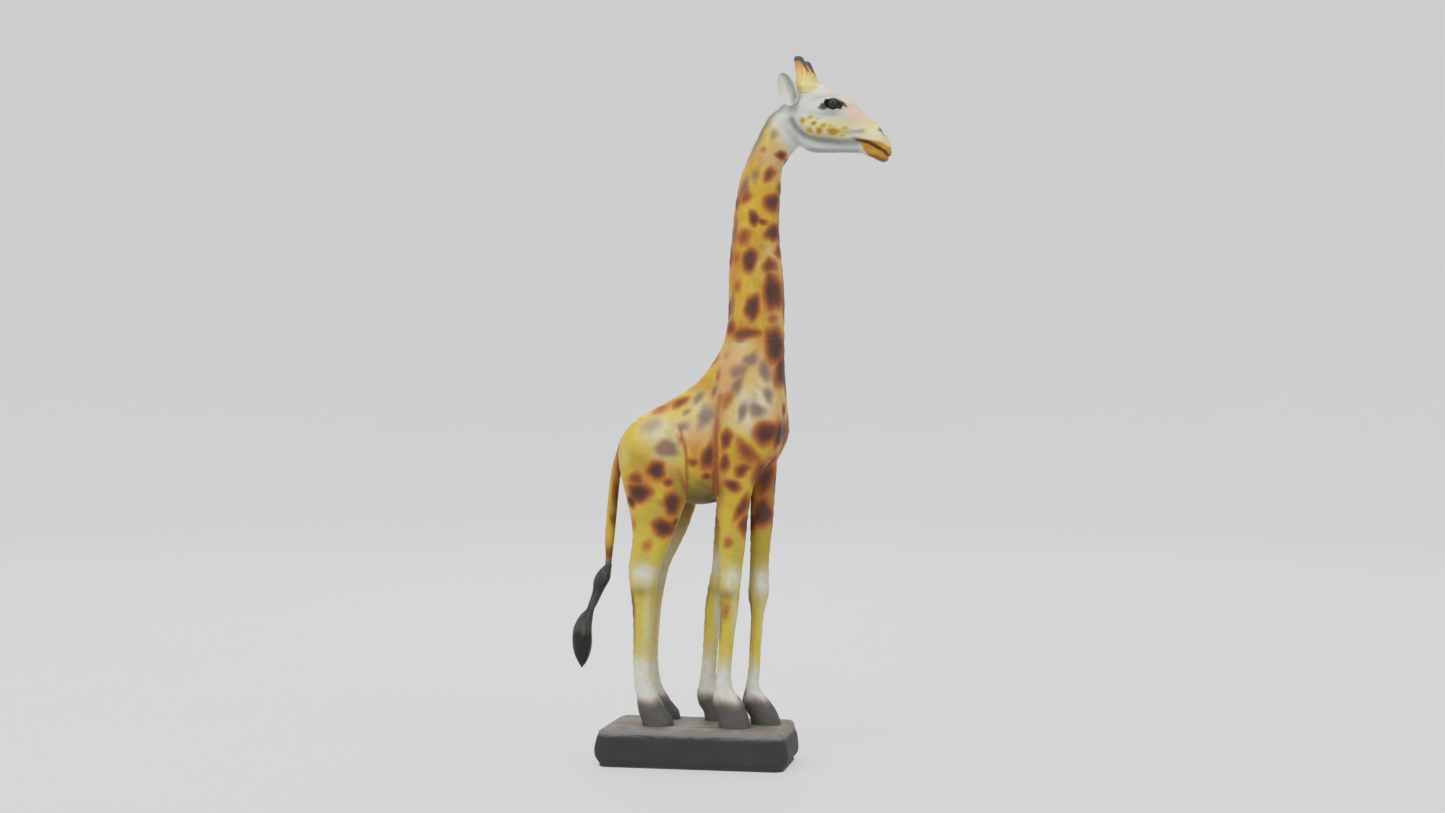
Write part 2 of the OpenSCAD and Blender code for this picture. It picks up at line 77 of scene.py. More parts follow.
# ---- The drawing, in millimetres -------------------------------------------

# Landmarks of the drawing: soles, foot of the neck, horn tip; tuft, nose; ribs
DRAWN_HEIGHTS = (33.0, 358.0, 600.0)
DRAWN_ENDS = (-110.0, 166.1)
DRAWN_HALF_WIDTH = 29.0

# back x, back z, front x, front z, middle y, half width, squareness, egg
# egg is how much wider a ring is at its back than at its middle
BODY = [
    [-67, 268, -67, 253, 0, 7, 2.2, 0],
    [-65.5, 276, -65, 243, 0, 13, 2.2, 0],
    [-61, 283.5, -60, 234, 0, 19, 2.3, 0],
    [-54, 291, -50, 227, 0, 24, 2.3, 0],
    [-40, 300, -35, 222, 0, 26.5, 2.3, -0.04],
    [-20, 311, -14, 220, 0, 27.5, 2.2, -0.1],
    [-5, 320.5, 10, 220.5, 0, 28, 2.2, -0.16],
    [6, 330.5, 32, 228, 0, 28, 2.2, -0.2],
    [13, 340, 52, 244, 0, 27.5, 2.2, -0.2],
    [17, 346, 67, 262, 0, 26, 2.2, -0.16],
    [19.5, 350, 76, 284, 0, 24, 2.2, -0.12],
    [21, 353, 77, 306, 0, 22, 2.2, -0.1],
    [22.3, 356, 75.5, 332, 0, 20.5, 2.2, -0.1],
    [23.5, 358, 75, 358, 0, 20, 2.2, -0.1],
    [26.5, 372, 75, 372, 0, 18.8, 2.2, -0.1],
    [28.3, 395, 75, 395, 0, 17.5, 2.2, -0.1],
    [28.8, 420, 73.5, 420, 0, 16.2, 2.2, -0.1],
    [31, 446, 71, 444, 0, 15.2, 2.2, -0.1],
    [34, 472, 70.5, 466, 0, 14.5, 2.2, -0.1],
    [38, 495, 72, 486, 0, 14.2, 2.2, -0.08],
    [44.5, 513, 73, 501, 0, 14, 2.2, -0.06],
    [53.5, 532, 77.5, 513, 0, 14, 2.2, -0.02],
    [64, 551, 87.5, 524, 0, 14.5, 2.2, 0],
    [69.5, 555.5, 95, 521, 0, 15.6, 2.3, 0.04],
    [75.5, 560.5, 101.5, 519, 0, 16.6, 2.3, 0.08],
    [83, 569, 107, 518.4, 0, 17.2, 2.4, 0.1],
    [94, 576.5, 112, 518.4, 0, 17.2, 2.5, 0.12],
    [108, 574.5, 118, 518.2, 0, 16.2, 2.5, 0.14],
    [117, 570, 124, 518.2, 0, 14.8, 2.4, 0.1],
    [126, 564.5, 130, 518, 0, 13.2, 2.3, 0],
    [134, 559, 136, 517.8, 0, 12, 2.2, -0.04],
    [142, 552.5, 142, 517, 0, 11.2, 2.2, -0.04],
    [149, 546, 148, 514.6, 0, 10.8, 2.3, 0],
    [155.5, 540, 153, 512.3, 0, 10.5, 2.4, 0.02],
    [161, 534, 157.5, 510.8, 0, 9.6, 2.4, 0],
    [164.5, 528, 161, 510.3, 0, 7.8, 2.3, 0],
    [166, 522.5, 163.5, 511.5, 0, 5, 2.2, 0],
    [166, 519, 165, 514, 0, 2, 2, 0],
]
NECK_FOOT = 13
HEAD_FOOT = 22

# Legs from the top down: back x, back z, front x, front z, middle y, half width
SHOULDER = [
    [42, 350, 54, 350, 16, 4],
    [33, 344, 61, 344, 16.5, 7.5],
    [26, 334, 67.5, 334, 17, 10],
    [20.5, 318, 72, 318, 17.5, 12],
    [17.5, 300, 75.5, 298, 18, 13.2],
    [16.5, 283, 76, 280, 18.5, 13.4],
    [17, 267, 70, 264, 19, 12.8],
    [18, 251, 60, 249, 19, 12],
]
HAUNCH = [
    [-48, 291, -35, 291, 16, 4],
    [-56, 285, -26, 284, 16, 8],
    [-61, 276, -19, 274, 16.5, 11],
    [-63.5, 263, -12.5, 261, 17, 12.8],
    [-63, 249, -8, 248, 17.5, 13.4],
    [-60, 234, -5.5, 234, 18, 13],
]
RIGHT_FRONT = SHOULDER + [
    [19.5, 236, 52, 236, 19, 11.4],
    [21, 214, 47.5, 214, 19, 10.6],
    [22.5, 190, 45, 190, 19, 9.6],
    [23.5, 166, 42, 166, 19, 9],
    [23, 148, 40, 148, 19, 9],
    [24, 132, 38.5, 132, 19, 8.2],
    [22.8, 108, 35.2, 108, 19, 7.2],
    [21, 82, 32.8, 82, 19, 6.9],
    [18.8, 64, 34, 66, 19, 7.6],
    [17.5, 54, 41, 56, 19, 8.8],
    [19.5, 46, 45.5, 47, 19, 9.6],
    [22, 39, 48, 39, 19, 10.3],
    [22.5, 33, 49.5, 33, 19, 10.8],
]
LEFT_FRONT = SHOULDER + [
    [15.5, 236, 46, 236, 19, 11.4],
    [13, 214, 37, 214, 19, 10.6],
    [11, 190, 31, 190, 19, 9.6],
    [9.5, 166, 26.5, 166, 19, 9],
    [6.5, 150, 23.5, 150, 19, 9],
    [3.5, 132, 19.5, 132, 19, 8.2],
    [2, 108, 15.5, 108, 19, 7.2],
    [0.5, 82, 13, 82, 19, 6.9],
    [-2, 64, 13, 66, 19, 7.6],
    [-4, 54, 18, 56, 19, 8.8],
    [-2, 46, 23, 47, 19, 9.6],
    [2, 39, 26, 39, 19, 10.3],
    [3, 33, 27.5, 33, 19, 10.8],
]
MIDDLE_FRONT = [
    [47, 268, 68, 268, 4, 8],
    [46, 252, 68, 252, 4, 9.4],
    [46, 230, 66.5, 230, 4, 9.4],
    [45.5, 204, 64.5, 204, 4, 9.2],
    [45.5, 176, 61.5, 176, 4, 8.8],
    [44.8, 156, 61.3, 156, 4, 9.2],
    [43.8, 143, 61, 143, 4, 9],
    [46, 126, 57, 126, 4, 7],
    [45, 100, 54.5, 100, 4, 6.6],
    [44, 80, 53.5, 80, 4, 6.6],
    [41, 62, 53, 64, 4, 7.4],
    [38.5, 52, 60, 54, 4, 8.8],
    [41, 45, 66, 46, 4, 9.6],
    [45, 39, 70, 39, 4, 10.2],
    [46, 33, 71.5, 33, 4, 10.6],
]
RIGHT_HIND = HAUNCH + [
    [-56, 219, -8, 219, 19, 12],
    [-53, 203, -14, 203, 19, 11],
    [-52.5, 188, -19.5, 188, 19, 10.4],
    [-55.5, 167, -28, 167, 19, 9.6],
    [-54.5, 151, -31.5, 151, 19, 9.2],
    [-52.5, 134, -33.5, 134, 19, 8.6],
    [-51.5, 112, -35, 112, 19, 7.8],
    [-51.5, 86, -35.5, 86, 19, 7.4],
    [-50.5, 66, -33, 66, 19, 7.8],
    [-48.5, 56, -28.5, 54, 19, 8.8],
    [-47.5, 47, -23, 45, 19, 9.6],
    [-45, 39, -18.5, 39, 19, 10.3],
    [-43, 33, -17, 33, 19, 10.8],
]
LEFT_HIND = HAUNCH + [
    [-57, 219, -5.5, 219, 19, 12],
    [-55, 203, -10.8, 203, 19, 11],
    [-54.5, 188, -17.5, 188, 19, 10.4],
    [-56.5, 167, -28, 167, 19, 9.6],
    [-56, 151, -32.5, 151, 19, 9.2],
    [-54.5, 134, -35.5, 134, 19, 8.6],
    [-54, 112, -38, 112, 19, 7.8],
    [-54, 86, -39, 86, 19, 7.4],
    [-53, 66, -37, 66, 19, 7.8],
    [-51, 56, -32, 54, 19, 8.8],
    [-49.5, 47, -25.5, 45, 19, 9.6],
    [-46.5, 39, -20.5, 39, 19, 10.3],
    [-44.5, 33, -19, 33, 19, 10.8],
]
LEGS = {  # node: rows, side of the body
    "right_front_leg": (RIGHT_FRONT, -1),
    "left_front_leg": (LEFT_FRONT, 1),
    "middle_front_leg": (MIDDLE_FRONT, 1),
    "right_hind_leg": (RIGHT_HIND, -1),
    "left_hind_leg": (LEFT_HIND, 1),
}
TAIL = [
    [-63, 281, -62, 269, 0, 4.6],
    [-67.5, 274, -64, 264, 0, 4.6],
    [-71.5, 263, -65, 258, 0, 4.4],
    [-75.5, 249, -67.5, 247, 0, 4.2],
    [-78, 230, -69.5, 230, 0, 4.1],
    [-80, 208, -71.5, 208, 0, 4],
    [-81.3, 190, -73.3, 190, 0, 3.6],
    [-80.8, 176, -75, 176, 0, 3],
    [-81.2, 166, -76, 166, 0, 2.7],
]
TUFT = [
    [-82, 166, -75.6, 166, 0, 3.2],
    [-88, 160, -76.4, 161, 0, 5],
    [-91.3, 153, -77.5, 154, 0, 6],
    [-92.2, 144, -82.5, 145, 0, 4.8],
    [-95.5, 134, -88, 134, 0, 3.6],
    [-98, 128, -91.2, 128, 0, 3.5],
    [-104, 122, -92.5, 122, 0, 5],
    [-109, 112, -93.6, 112, 0, 6.8],
    [-110, 100, -93.2, 100, 0, 7],
    [-108.8, 90, -95, 90, 0, 5.8],
    [-105, 82, -98.5, 82, 0, 3],
    [-103, 79, -101, 79, 0, 1],
]

# Bumps: centre x, y, z, reach along x, y, z, height. One off the middle has a twin.
BODY_BUMPS = [
    (-46, 21, 284, 11, 10, 8, 1.6),      # hip bone
    (-12, 27, 258, 12, 12, 17, -2.4),    # flank in front of the thigh
    (-60, 12, 262, 8, 9, 14, 0.8),       # seat bone
    (8, 26, 268, 14, 12, 22, 1.0),       # ribs
    (70, 11, 268, 10, 8, 12, 1.6),       # breast
    (76, 0, 275, 6, 2.2, 30, -1.2),      # groove between the breasts
    (34, 0, 362, 8, 5, 16, 0.8),         # withers
    (52, 17, 372, 16, 8, 22, 0.8),       # root of the neck
    (38, 15, 410, 8, 8, 60, 0.5),        # muscle along the nape
]
HEAD_BUMPS = [
    (104, 17, 537, 13, 8, 8, 2.0),       # cheek
    (110, 13, 521, 22, 6, 2.2, 1.0),     # lower edge of the jaw
    (150, 9, 515.5, 7, 5, 2.2, 1.0),     # lower lip
    (118, 15, 566, 12, 5, 4, 1.5),       # brow
    (126, 14, 547, 14, 6, 5, 0.9),       # cheekbone
    (104, 15, 560, 7, 6, 7, -0.8),       # temple
    (136, 0, 558, 12, 3.4, 6, 0.7),      # bridge of the nose
    (134, 12, 538, 10, 5, 6, -1.2),      # hollow behind the muzzle
    (157, 9, 531, 6, 4, 5, 1.3),         # nostril wing
    (152, 11, 525.5, 8, 5, 3, 1.2),      # upper lip
    (159, 5, 511.5, 5, 6, 3, 0.9),       # chin
    (97, 0, 578, 10, 9, 6, 1.4),         # poll under the horns
    (88, 13, 565, 7, 6, 7, 0.8),         # root of the ear
]
LEG_BUMPS = {
    "front": [
        (46, 31, 320, 9, 8, 22, 1.0),    # ridge of the shoulder blade
        (66, 29, 284, 8, 8, 9, 1.8),     # point of the shoulder
        (24, 30, 252, 8, 8, 10, 1.2),    # elbow
        (45, 32, 270, 12, 8, 12, 0.8),
        (47, 26, 296, 8, 6, 10, -0.5),
    ],
    "hind": [
        (-18, 30, 240, 10, 9, 12, 1.2),  # stifle
        (-44, 31, 252, 14, 8, 18, 1.0),  # thigh
        (-36, 30, 222, 8, 6, 14, -0.5),
    ],
}
# Grooves: a line of x, z points seen from the side, half width, depth
BODY_GROOVES = [
    ([(67, 362), (62, 400), (60, 440), (64, 480), (74, 508)], 3.2, 0.7),
    ([(40, 372), (38, 410), (41, 450)], 3.0, 0.4),
    ([(-30, 300), (-8, 310), (8, 326)], 5.0, 0.4),
]
HEAD_GROOVES = [
    ([(136, 527.8), (141, 526.6), (149, 524.4), (156, 520.4), (161.5, 517.2), (166, 512)], 1.1, 1.0),
    ([(158, 535.8), (160.4, 534.6), (161.8, 532.4)], 1.3, 1.5),
    ([(82, 541), (86, 534), (94, 530), (105, 526.6), (122, 524.4), (139, 524.4)], 3.4, 1.3),
    ([(124, 533), (133, 532.6), (143, 534)], 1.6, 0.7),
    ([(127, 535), (134, 533.8), (142, 533.6)], 1.7, 0.6),
    ([(107, 553), (115, 550.4), (124, 551.2)], 1.1, 0.5),
    ([(136, 527.8), (141, 526.6), (149, 524.4), (156, 520.4), (158, 519.4)], 1.1, 1.2),
]
EYE = (119.0, 557.0)                     # middle of the eye, x and z
EYE_TILT = math.radians(-6)
EYE_HALF_LENGTH = 7.4
EYE_HALF_HEIGHT = 3.9
EYE_HOLLOW = 3.2
EYELID = 0.9

BODY_SIDES = 288
LIMB_SIDES = 120                         # legs, tail and tuft
DOME_STEPS = 6
TAIL_FILLET = 3

# Spots: x, z, length, width, degrees the length leans up from +X, strength.
# They fade outwards from their middles through brown to orange.
RIGHT_SPOTS = [
    # neck
    (75, 515, 9, 7, -30, 0.9), (64.5, 499.5, 13, 8, 62, 0.75), (59, 520, 7, 6, 40, 0.4),
    (67, 476, 15, 12, 48, 1.0), (51.5, 462.5, 12, 8, -75, 1.0), (58.5, 459.5, 10, 5, -15, 0.75),
    (68, 451, 15, 11, 55, 1.05), (43, 447, 15, 12, 60, 0.65), (48, 427, 18, 11, 80, 1.1),
    (65, 422.5, 12, 11, 60, 0.85), (67.5, 400, 27, 13, 96, 1.15), (51, 387, 19, 11, 82, 1.15),
    (68, 377, 11, 9, 80, 0.5), (70, 355, 26, 14, 95, 1.15), (45, 365, 24, 9, 3, 0.85),
    (30, 370, 12, 12, 0, 0.8), (44.5, 481, 12, 9, 60, 0.65), (72, 484, 7, 5, 60, 0.5),
    (37, 405, 12, 8, 70, 0.45), (59, 438, 9, 6, 0, 0.25), (36, 430, 10, 6, 80, 0.5),
    # trunk and shoulder
    (75.5, 334, 25, 10, 88, 1.1), (50, 343, 12, 9, 30, 0.15), (41, 333, 14, 10, 20, 0.15),
    (22, 329, 11, 6, 80, 0.3), (-12, 307, 15, 7, 25, 0.75), (31.5, 309, 18, 10, 60, 0.5),
    (-22, 268, 15, 12, -10, 0.2), (-15, 261, 12, 10, 0, 0.15), (-29, 249.5, 14, 13, -50, 1.1),
    (-47, 242, 14, 11, -15, 0.7), (-19, 239.5, 9, 7, 0, 0.75), (-44.5, 230.5, 18, 14, 0, 1.15),
    (-52, 223, 10, 8, -50, 1.0), (-16, 221.5, 17, 11, 85, 1.15), (2, 256, 9, 7, 0, 0.7),
    (15.5, 261, 20, 11, 75, 1.0), (13.5, 244.5, 9, 6, 0, 0.8), (31, 276, 16, 9, 78, 0.9),
    (29.5, 256, 15, 8, 80, 0.85), (65, 281.5, 20, 16, 25, 1.1), (77, 280, 24, 11, 75, 1.15),
    (49, 265.5, 25, 12, -50, 0.7), (69, 258.5, 11, 9, 30, 0.5), (44, 250, 14, 9, 40, 0.85),
    (36, 237, 14, 9, -25, 0.9), (44, 219, 21, 8, 62, 0.85), (57, 320, 9, 6, -40, 0.2),
    (47, 204.5, 17, 10, 75, 0.95), (32, 189, 11, 9, 60, 0.5), (-23.5, 201, 17, 13, -20, 1.05),
    (-37.5, 186, 14, 10, 60, 0.4), (29, 130, 13, 7, 80, 0.4), (60, 243, 26, 13, 80, 1.05),
    (57.5, 213, 21, 14, 84, 1.2), (-50, 204, 11, 6, 85, 0.4), (-9, 275, 12, 7, -60, 0.35),
    (-14, 205, 8, 6, 60, 0.8), (46, 178, 9, 5, 80, 0.3), (22, 200, 16, 5, 88, 0.5),
]
# Spots greyed by the painted sheen over them: real spots seen through a painted highlight
RIGHT_SPOTS_UNDER_SHEEN = [
    (52.5, 499, 13, 8, 80, 0.7), (68.5, 533, 10, 8, 60, 0.7), (41.5, 487, 22, 8, 68, 1.0),
    (34, 452, 22, 5, 82, 0.95), (31.5, 389, 18, 7, 88, 0.95), (46, 380, 12, 6, 88, 0.5),
    (68, 379, 12, 8, 80, 0.4), (40.5, 359.5, 10, 6, 0, 0.8), (27.5, 346.5, 8, 6, 60, 0.6),
    (50, 343, 15, 11, 30, 1.0), (41, 333.5, 17, 12, 20, 0.95), (21.5, 330, 12, 5, 85, 0.8),
    (19, 317, 11, 5, 80, 0.85), (62.5, 333, 20, 9, -75, 0.95), (40, 321, 17, 9, 62, 0.9),
    (4.5, 311, 14, 8, 55, 0.85), (11.5, 295, 20, 14, 70, 1.0), (-12, 307, 12, 5, 25, 0.5),
    (-5, 299, 10, 5, 30, 0.75), (-7, 287, 12, 9, 40, 0.75), (-36.5, 287, 19, 15, 20, 0.6),
    (-43, 284, 8, 12, 0, 0.5), (-21, 268, 18, 13, -10, 1.2), (45, 299, 17, 8, 75, 0.9),
    (57, 300, 15, 12, -30, 0.95), (66, 313, 15, 8, -75, 0.9), (-24, 221.5, 9, 12, 80, 0.7),
    (-34, 224, 9, 7, 0, 0.4), (29.5, 277, 9, 6, 78, 0.6), (29, 257, 9, 5, 80, 0.6),
    (50, 263, 12, 7, -50, 0.5), (70, 285, 7, 4, 10, 0.8), (36, 239, 7, 4, 0, 0.6),
    (-44, 250, 9, 6, 20, 0.3), (30, 131, 9, 6, 80, 0.6), (67, 258, 8, 5, 30, 0.5),
]
# The left side repeats the right one, moved a little, as freehand painting does
LEFT_SHIFT = (3.5, -4.0)
# Spots seen from the front, then from behind: y, z, length, width, lean, darkness
FRONT_SPOTS = [
    (-3, 488, 12, 9, 70, 0.7), (5, 462, 14, 10, 80, 0.8), (-4, 435, 12, 10, 60, 0.8),
    (4, 411, 15, 10, 80, 0.9), (1, 384, 13, 11, 60, 0.85), (-2, 345, 16, 10, 80, 0.9),
    (3, 318, 14, 10, 70, 0.85), (-9, 300, 13, 9, 50, 0.8), (8, 288, 12, 9, -50, 0.8),
]
BACK_SPOTS = [
    (4, 497, 14, 9, 75, 0.5), (-5, 476, 15, 9, 85, 0.65), (5, 455, 15, 9, 100, 0.7),
    (-4, 431, 16, 10, 80, 0.75), (6, 410, 15, 10, 85, 0.8), (-5, 386, 16, 10, 95, 0.85),
    (6, 366, 14, 10, 70, 0.7), (-6, 344, 13, 9, 60, 0.5), (10, 326, 13, 9, 70, 0.5),
    (-12, 303, 14, 9, 60, 0.5), (9, 296, 14, 10, 80, 0.5), (12, 262, 12, 9, 40, 0.7),
    (-13, 250, 12, 9, -40, 0.7), (15, 238, 12, 9, 70, 0.8), (17, 205, 12, 8, 80, 0.6),
    (-17, 212, 12, 8, 80, 0.6),
]
# Washes: x, z, half length, half height, strength, seen from the side
# Painted sheen: pale highlights on the shoulder, back, rump and neck
PALE_SHEEN_WASHES = [
    (52, 305, 18, 16, 1.0), (62, 318, 7, 16, 0.7), (56, 284, 9, 7, 0.4), (12, 296, 11, 11, 0.8),
    (-8, 286, 9, 10, 0.6), (-30, 284, 14, 12, 1.0), (-20, 268, 11, 12, 0.7), (46, 290, 12, 9, 0.6),
    (42, 358, 9, 6, 0.6), (66, 423, 7, 16, 0.45), (70, 380, 5, 14, 0.35), (66, 510, 9, 14, 0.45),
    (52, 524, 8, 9, 0.3), (4, 308, 8, 9, 0.5), (-58, 262, 5, 10, 0.3),
]
# Painted sheen: pink highlights on the withers, shoulder and flank
PINK_SHEEN_WASHES = [
    (44, 344, 18, 13, 0.95), (27, 344, 8, 14, 0.7), (62, 338, 9, 10, 0.6), (28, 322, 8, 15, 0.8),
    (66, 305, 8, 14, 0.5), (2, 284, 12, 10, 0.6), (14, 276, 9, 14, 0.5), (56, 328, 14, 7, 0.5),
    (66, 430, 5, 12, 0.4), (48, 522, 6, 12, 0.35),
]
ORANGE_WASHES = [
    (23, 292, 6, 34, 1.0), (20, 262, 6, 30, 0.9), (66, 342, 6, 22, 0.6), (36, 324, 9, 10, 0.7),
    (6, 266, 10, 16, 0.75), (-44, 236, 15, 13, 0.6), (-29, 250, 12, 10, 0.5), (70, 292, 7, 18, 0.7),
    (34, 445, 6, 60, 0.75), (71, 440, 6, 60, 0.5), (38, 366, 18, 9, 1.0), (66, 398, 11, 24, 0.55),
    (58, 450, 12, 16, 0.2), (52, 402, 12, 10, 0.25), (62, 360, 14, 12, 0.35),
    (-20, 201, 10, 10, 0.6), (44, 212, 8, 20, 0.6), (62, 225, 9, 28, 0.6), (24, 250, 4, 40, 0.8),
    (-34, 307, 34, 5, 0.7), (10, 322, 14, 6, 0.6), (62, 512, 12, 10, 0.4), (56, 285, 10, 10, 0.4),
    (27, 134, 8, 16, 0.5), (50, 257, 14, 12, 0.5), (16, 250, 8, 12, 0.5), (-14, 222, 6, 14, 0.5),
    (52, 520, 8, 16, 0.5), (74, 270, 8, 12, 0.7), (48, 385, 12, 12, 0.35), (48, 428, 12, 14, 0.3),
]
# Painted shade: olive under the belly, between the legs and on the far legs
OLIVE_SHADE_WASHES = [
    (8, 232, 20, 13, 1.0), (-46, 258, 12, 10, 0.5), (-12, 246, 8, 12, 0.4), (56, 430, 6, 24, 0.2),
    (-30, 212, 14, 14, 0.4), (38, 180, 6, 20, 0.3), (72, 256, 9, 9, 0.9), (-8, 232, 10, 14, 0.6),
    (31, 145, 9, 5, 0.8), (-42, 147, 10, 5, 0.7), (-41, 173, 8, 6, 0.2), (14, 145, 8, 8, 0.6),
    (50, 372, 10, 8, 0.3), (20, 236, 10, 14, 0.5), (40, 268, 8, 10, 0.3),
]
# Pale strokes down the fronts of the shanks and round the knees, and brown ones beside them
WHITE_WASHES = [
    (-41, 161, 12, 9, 0.8), (35, 159, 8, 9, 0.8), (15, 168, 8, 12, 0.7), (57, 154, 9, 12, 0.85),
    (-38, 120, 3.5, 26, 0.4), (38, 120, 3, 24, 0.6), (58, 110, 3, 30, 0.8), (16, 116, 4, 26, 0.8),
    (-44, 76, 12, 17, 1.0), (28, 72, 12, 16, 1.0), (48, 68, 10, 15, 1.0), (6, 76, 9, 18, 0.9),
]
BROWN_WASHES = [
    (-51.5, 134, 3.4, 16, 0.9), (-50.5, 110, 2.8, 26, 0.6), (23.5, 122, 3.6, 24, 0.8),
    (45.5, 132, 3.2, 16, 0.9), (6, 146, 3.5, 14, 0.7), (45.5, 112, 2.4, 24, 0.6), (60, 190, 2.5, 16, 0.3),
    (-4, 60, 3, 6, 0.8), (41, 60, 3, 6, 0.9), (4, 120, 2, 20, 0.5), (22, 58, 4, 4, 0.4),
    (66, 60, 3, 4, 0.4), (-40, 55, 10, 3, 0.3),
]
# Brown and orange down the back of the tail
TAIL_STREAKS = [
    (-67.5, 256, 4, 16, 1), (-71.5, 228, 3.8, 18, 1), (-73.5, 206, 3.4, 8, 0.9), (-77, 177, 6, 8, 1),
]

# Strokes brushed into the creases of both flanks: points, half width, strength
CREASES = [
    ([(25, 312), (22.5, 295), (21.5, 283), (22, 261), (21.5, 245), (22.5, 230)], 3.0, 0.85),
    ([(-11, 288), (-6, 273), (-3.5, 261), (-4, 245), (-4, 233)], 2.0, 0.6),
    ([(63, 343), (70.5, 327), (76.5, 305)], 2.0, 0.4),
    ([(52, 343), (44.5, 329), (36, 318), (30, 308)], 2.2, 0.35),
]

# ---- Surfaces as grids of rings --------------------------------------------


def eased(v, low, high):
    """A smooth step: 0 up to low, 1 from high on, and 3t² - 2t³ between them."""
    t = np.clip((v - low) / (high - low), 0, 1)
    return t * t * (3 - 2 * t)


def turns(sides):
    """Angles round a ring."""
    return np.arange(sides) * 2 * np.pi / sides


def place(points):
    """Metres from millimetres: straight lines between the landmarks' drawn and CAD places on each axis."""
    low, high = np.array(CAD_BOX)
    beyond = 0.05
    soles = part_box("plinth")[1][2]
    neck_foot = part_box("neck")[0][2]
    ribs = max(abs(corner[1]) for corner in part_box("torso"))
    x = np.interp(points[..., 0],
                  (DRAWN_ENDS[0] - 50, DRAWN_ENDS[0], DRAWN_ENDS[1], DRAWN_ENDS[1] + 50),
                  (low[0] - beyond, low[0], high[0], high[0] + beyond))
    z = np.interp(points[..., 2],
                  (DRAWN_HEIGHTS[0] - 50, *DRAWN_HEIGHTS, DRAWN_HEIGHTS[2] + 50),
                  (soles - beyond, soles, neck_foot, high[2], high[2] + beyond))
    return np.stack((x, points[..., 1] * ribs / DRAWN_HALF_WIDTH, z), axis=-1)


def spline(rows, u):
    """Catmull-Rom through the rows.

    At u it is half of 2b + (c - a)t + (2a - 5b + 4c - d)t² + (3b - a - 3c + d)t³ of the four rows round u.
    """
    rows = np.asarray(rows, float)
    last = len(rows) - 1
    i = np.minimum(np.floor(u).astype(int), last - 1)
    t = (u - i)[:, None]
    a, b, c, d = (rows[np.clip(i + k, 0, last)] for k in (-1, 0, 1, 2))
    return 0.5 * (2 * b + (c - a) * t + (2 * a - 5 * b + 4 * c - d) * t ** 2
                  + (3 * b - a - 3 * c + d) * t ** 3)


def evenly(rows, start, end, step):
    """Places along the rows where the faster of the two outlines has moved on by about one step."""
    u = np.linspace(start, end, 60 * int(end - start) + 1)
    moved = np.diff(spline(rows, u)[:, :4], axis=0)
    run = np.maximum(np.hypot(moved[:, 0], moved[:, 1]), np.hypot(moved[:, 2], moved[:, 3]))
    far = np.concatenate(([0], np.cumsum(run)))
    return np.interp(np.linspace(0, far[-1], int(far[-1] / step) + 2), far, u)


def rings(rows, u, sides):
    """Superellipses round the outlines.

    A point is middle + half span * bent(cos t) in x and z, and y = middle y + half width * bent(sin t)
    * (1 + egg * bent(cos t)), where bent(v) = sign(v) |v|^(2 / squareness).
    """
    s = spline(rows, u)
    turn = turns(sides)
    power = 2 / s[:, 6:7]
    along = np.sign(np.cos(turn)) * np.abs(np.cos(turn)) ** power
    across = np.sign(np.sin(turn)) * np.abs(np.sin(turn)) ** power
    x = (s[:, 0:1] + s[:, 2:3]) / 2 + (s[:, 0:1] - s[:, 2:3]) / 2 * along
    z = (s[:, 1:2] + s[:, 3:4]) / 2 + (s[:, 1:2] - s[:, 3:4]) / 2 * along
    y = s[:, 4:5] + s[:, 5:6] * across * (1 + s[:, 7:8] * along)
    return np.stack((x, y, z), axis=-1)


def normals_of(grid):
    """Cross product of the differences round and along the rings, pointing away from their middles."""
    along = np.gradient(grid, axis=0)
    around = np.roll(grid, -1, 1) - np.roll(grid, 1, 1)
    n = np.cross(around, along)
    n /= np.maximum(np.linalg.norm(n, axis=-1, keepdims=True), 1e-9)
    outward = ((grid - grid.mean(axis=1, keepdims=True)) * n).sum()
    return n if outward > 0 else -n


def pushed(grid, lift):
    """The grid moved along its normals by lift."""
    return grid + normals_of(grid) * lift[..., None]


def bump_lift(grid, bumps):
    """The sum of height * exp(-q), q being the squared distance from a bump's centre in its reaches."""
    lift = np.zeros(grid.shape[:2])
    for x, y, z, reach_x, reach_y, reach_z, height in bumps:
        for side in ((1, -1) if y else (1,)):
            q = (((grid[..., 0] - x) / reach_x) ** 2 + ((grid[..., 1] - side * y) / reach_y) ** 2
                 + ((grid[..., 2] - z) / reach_z) ** 2)
            lift += height * np.exp(-q)
    return lift


def line_distance(x, z, line):
    """Distance in the side view to the nearest point of a chain of straight pieces."""
    nearest = np.full(np.shape(x), 1e9)
    for (x0, z0), (x1, z1) in zip(line, line[1:]):
        t = ((x - x0) * (x1 - x0) + (z - z0) * (z1 - z0)) / ((x1 - x0) ** 2 + (z1 - z0) ** 2)
        t = np.clip(t, 0, 1)
        nearest = np.minimum(nearest, np.hypot(x - x0 - t * (x1 - x0), z - z0 - t * (z1 - z0)))
    return nearest


def stroke(x, z, line, half_width):
    """1 along a line, fading beside it as exp(-(distance / half width)²)."""
    return np.exp(-(line_distance(x, z, line) / half_width) ** 2)


def groove_lift(grid, grooves):
    """Minus the depths of the grooves, each cut as a stroke."""
    lift = np.zeros(grid.shape[:2])
    for line, half_width, depth in grooves:
        lift -= depth * stroke(grid[..., 0], grid[..., 2], line, half_width)
    return lift


def tooling(grid, size, depth):
    """Soft unevenness of hand carving: depth times sine waves of about that size, multiplied and added."""
    x, y, z = (grid[..., k] / size for k in range(3))
    waves = np.sin(6.3 * x + 2 * np.sin(4.1 * z)) * np.sin(5.2 * z + 1.7 * np.sin(5 * y) + 1)
    return depth * (0.6 * waves + 0.4 * np.sin(7.9 * z + 3.1 * x + 4 * y))


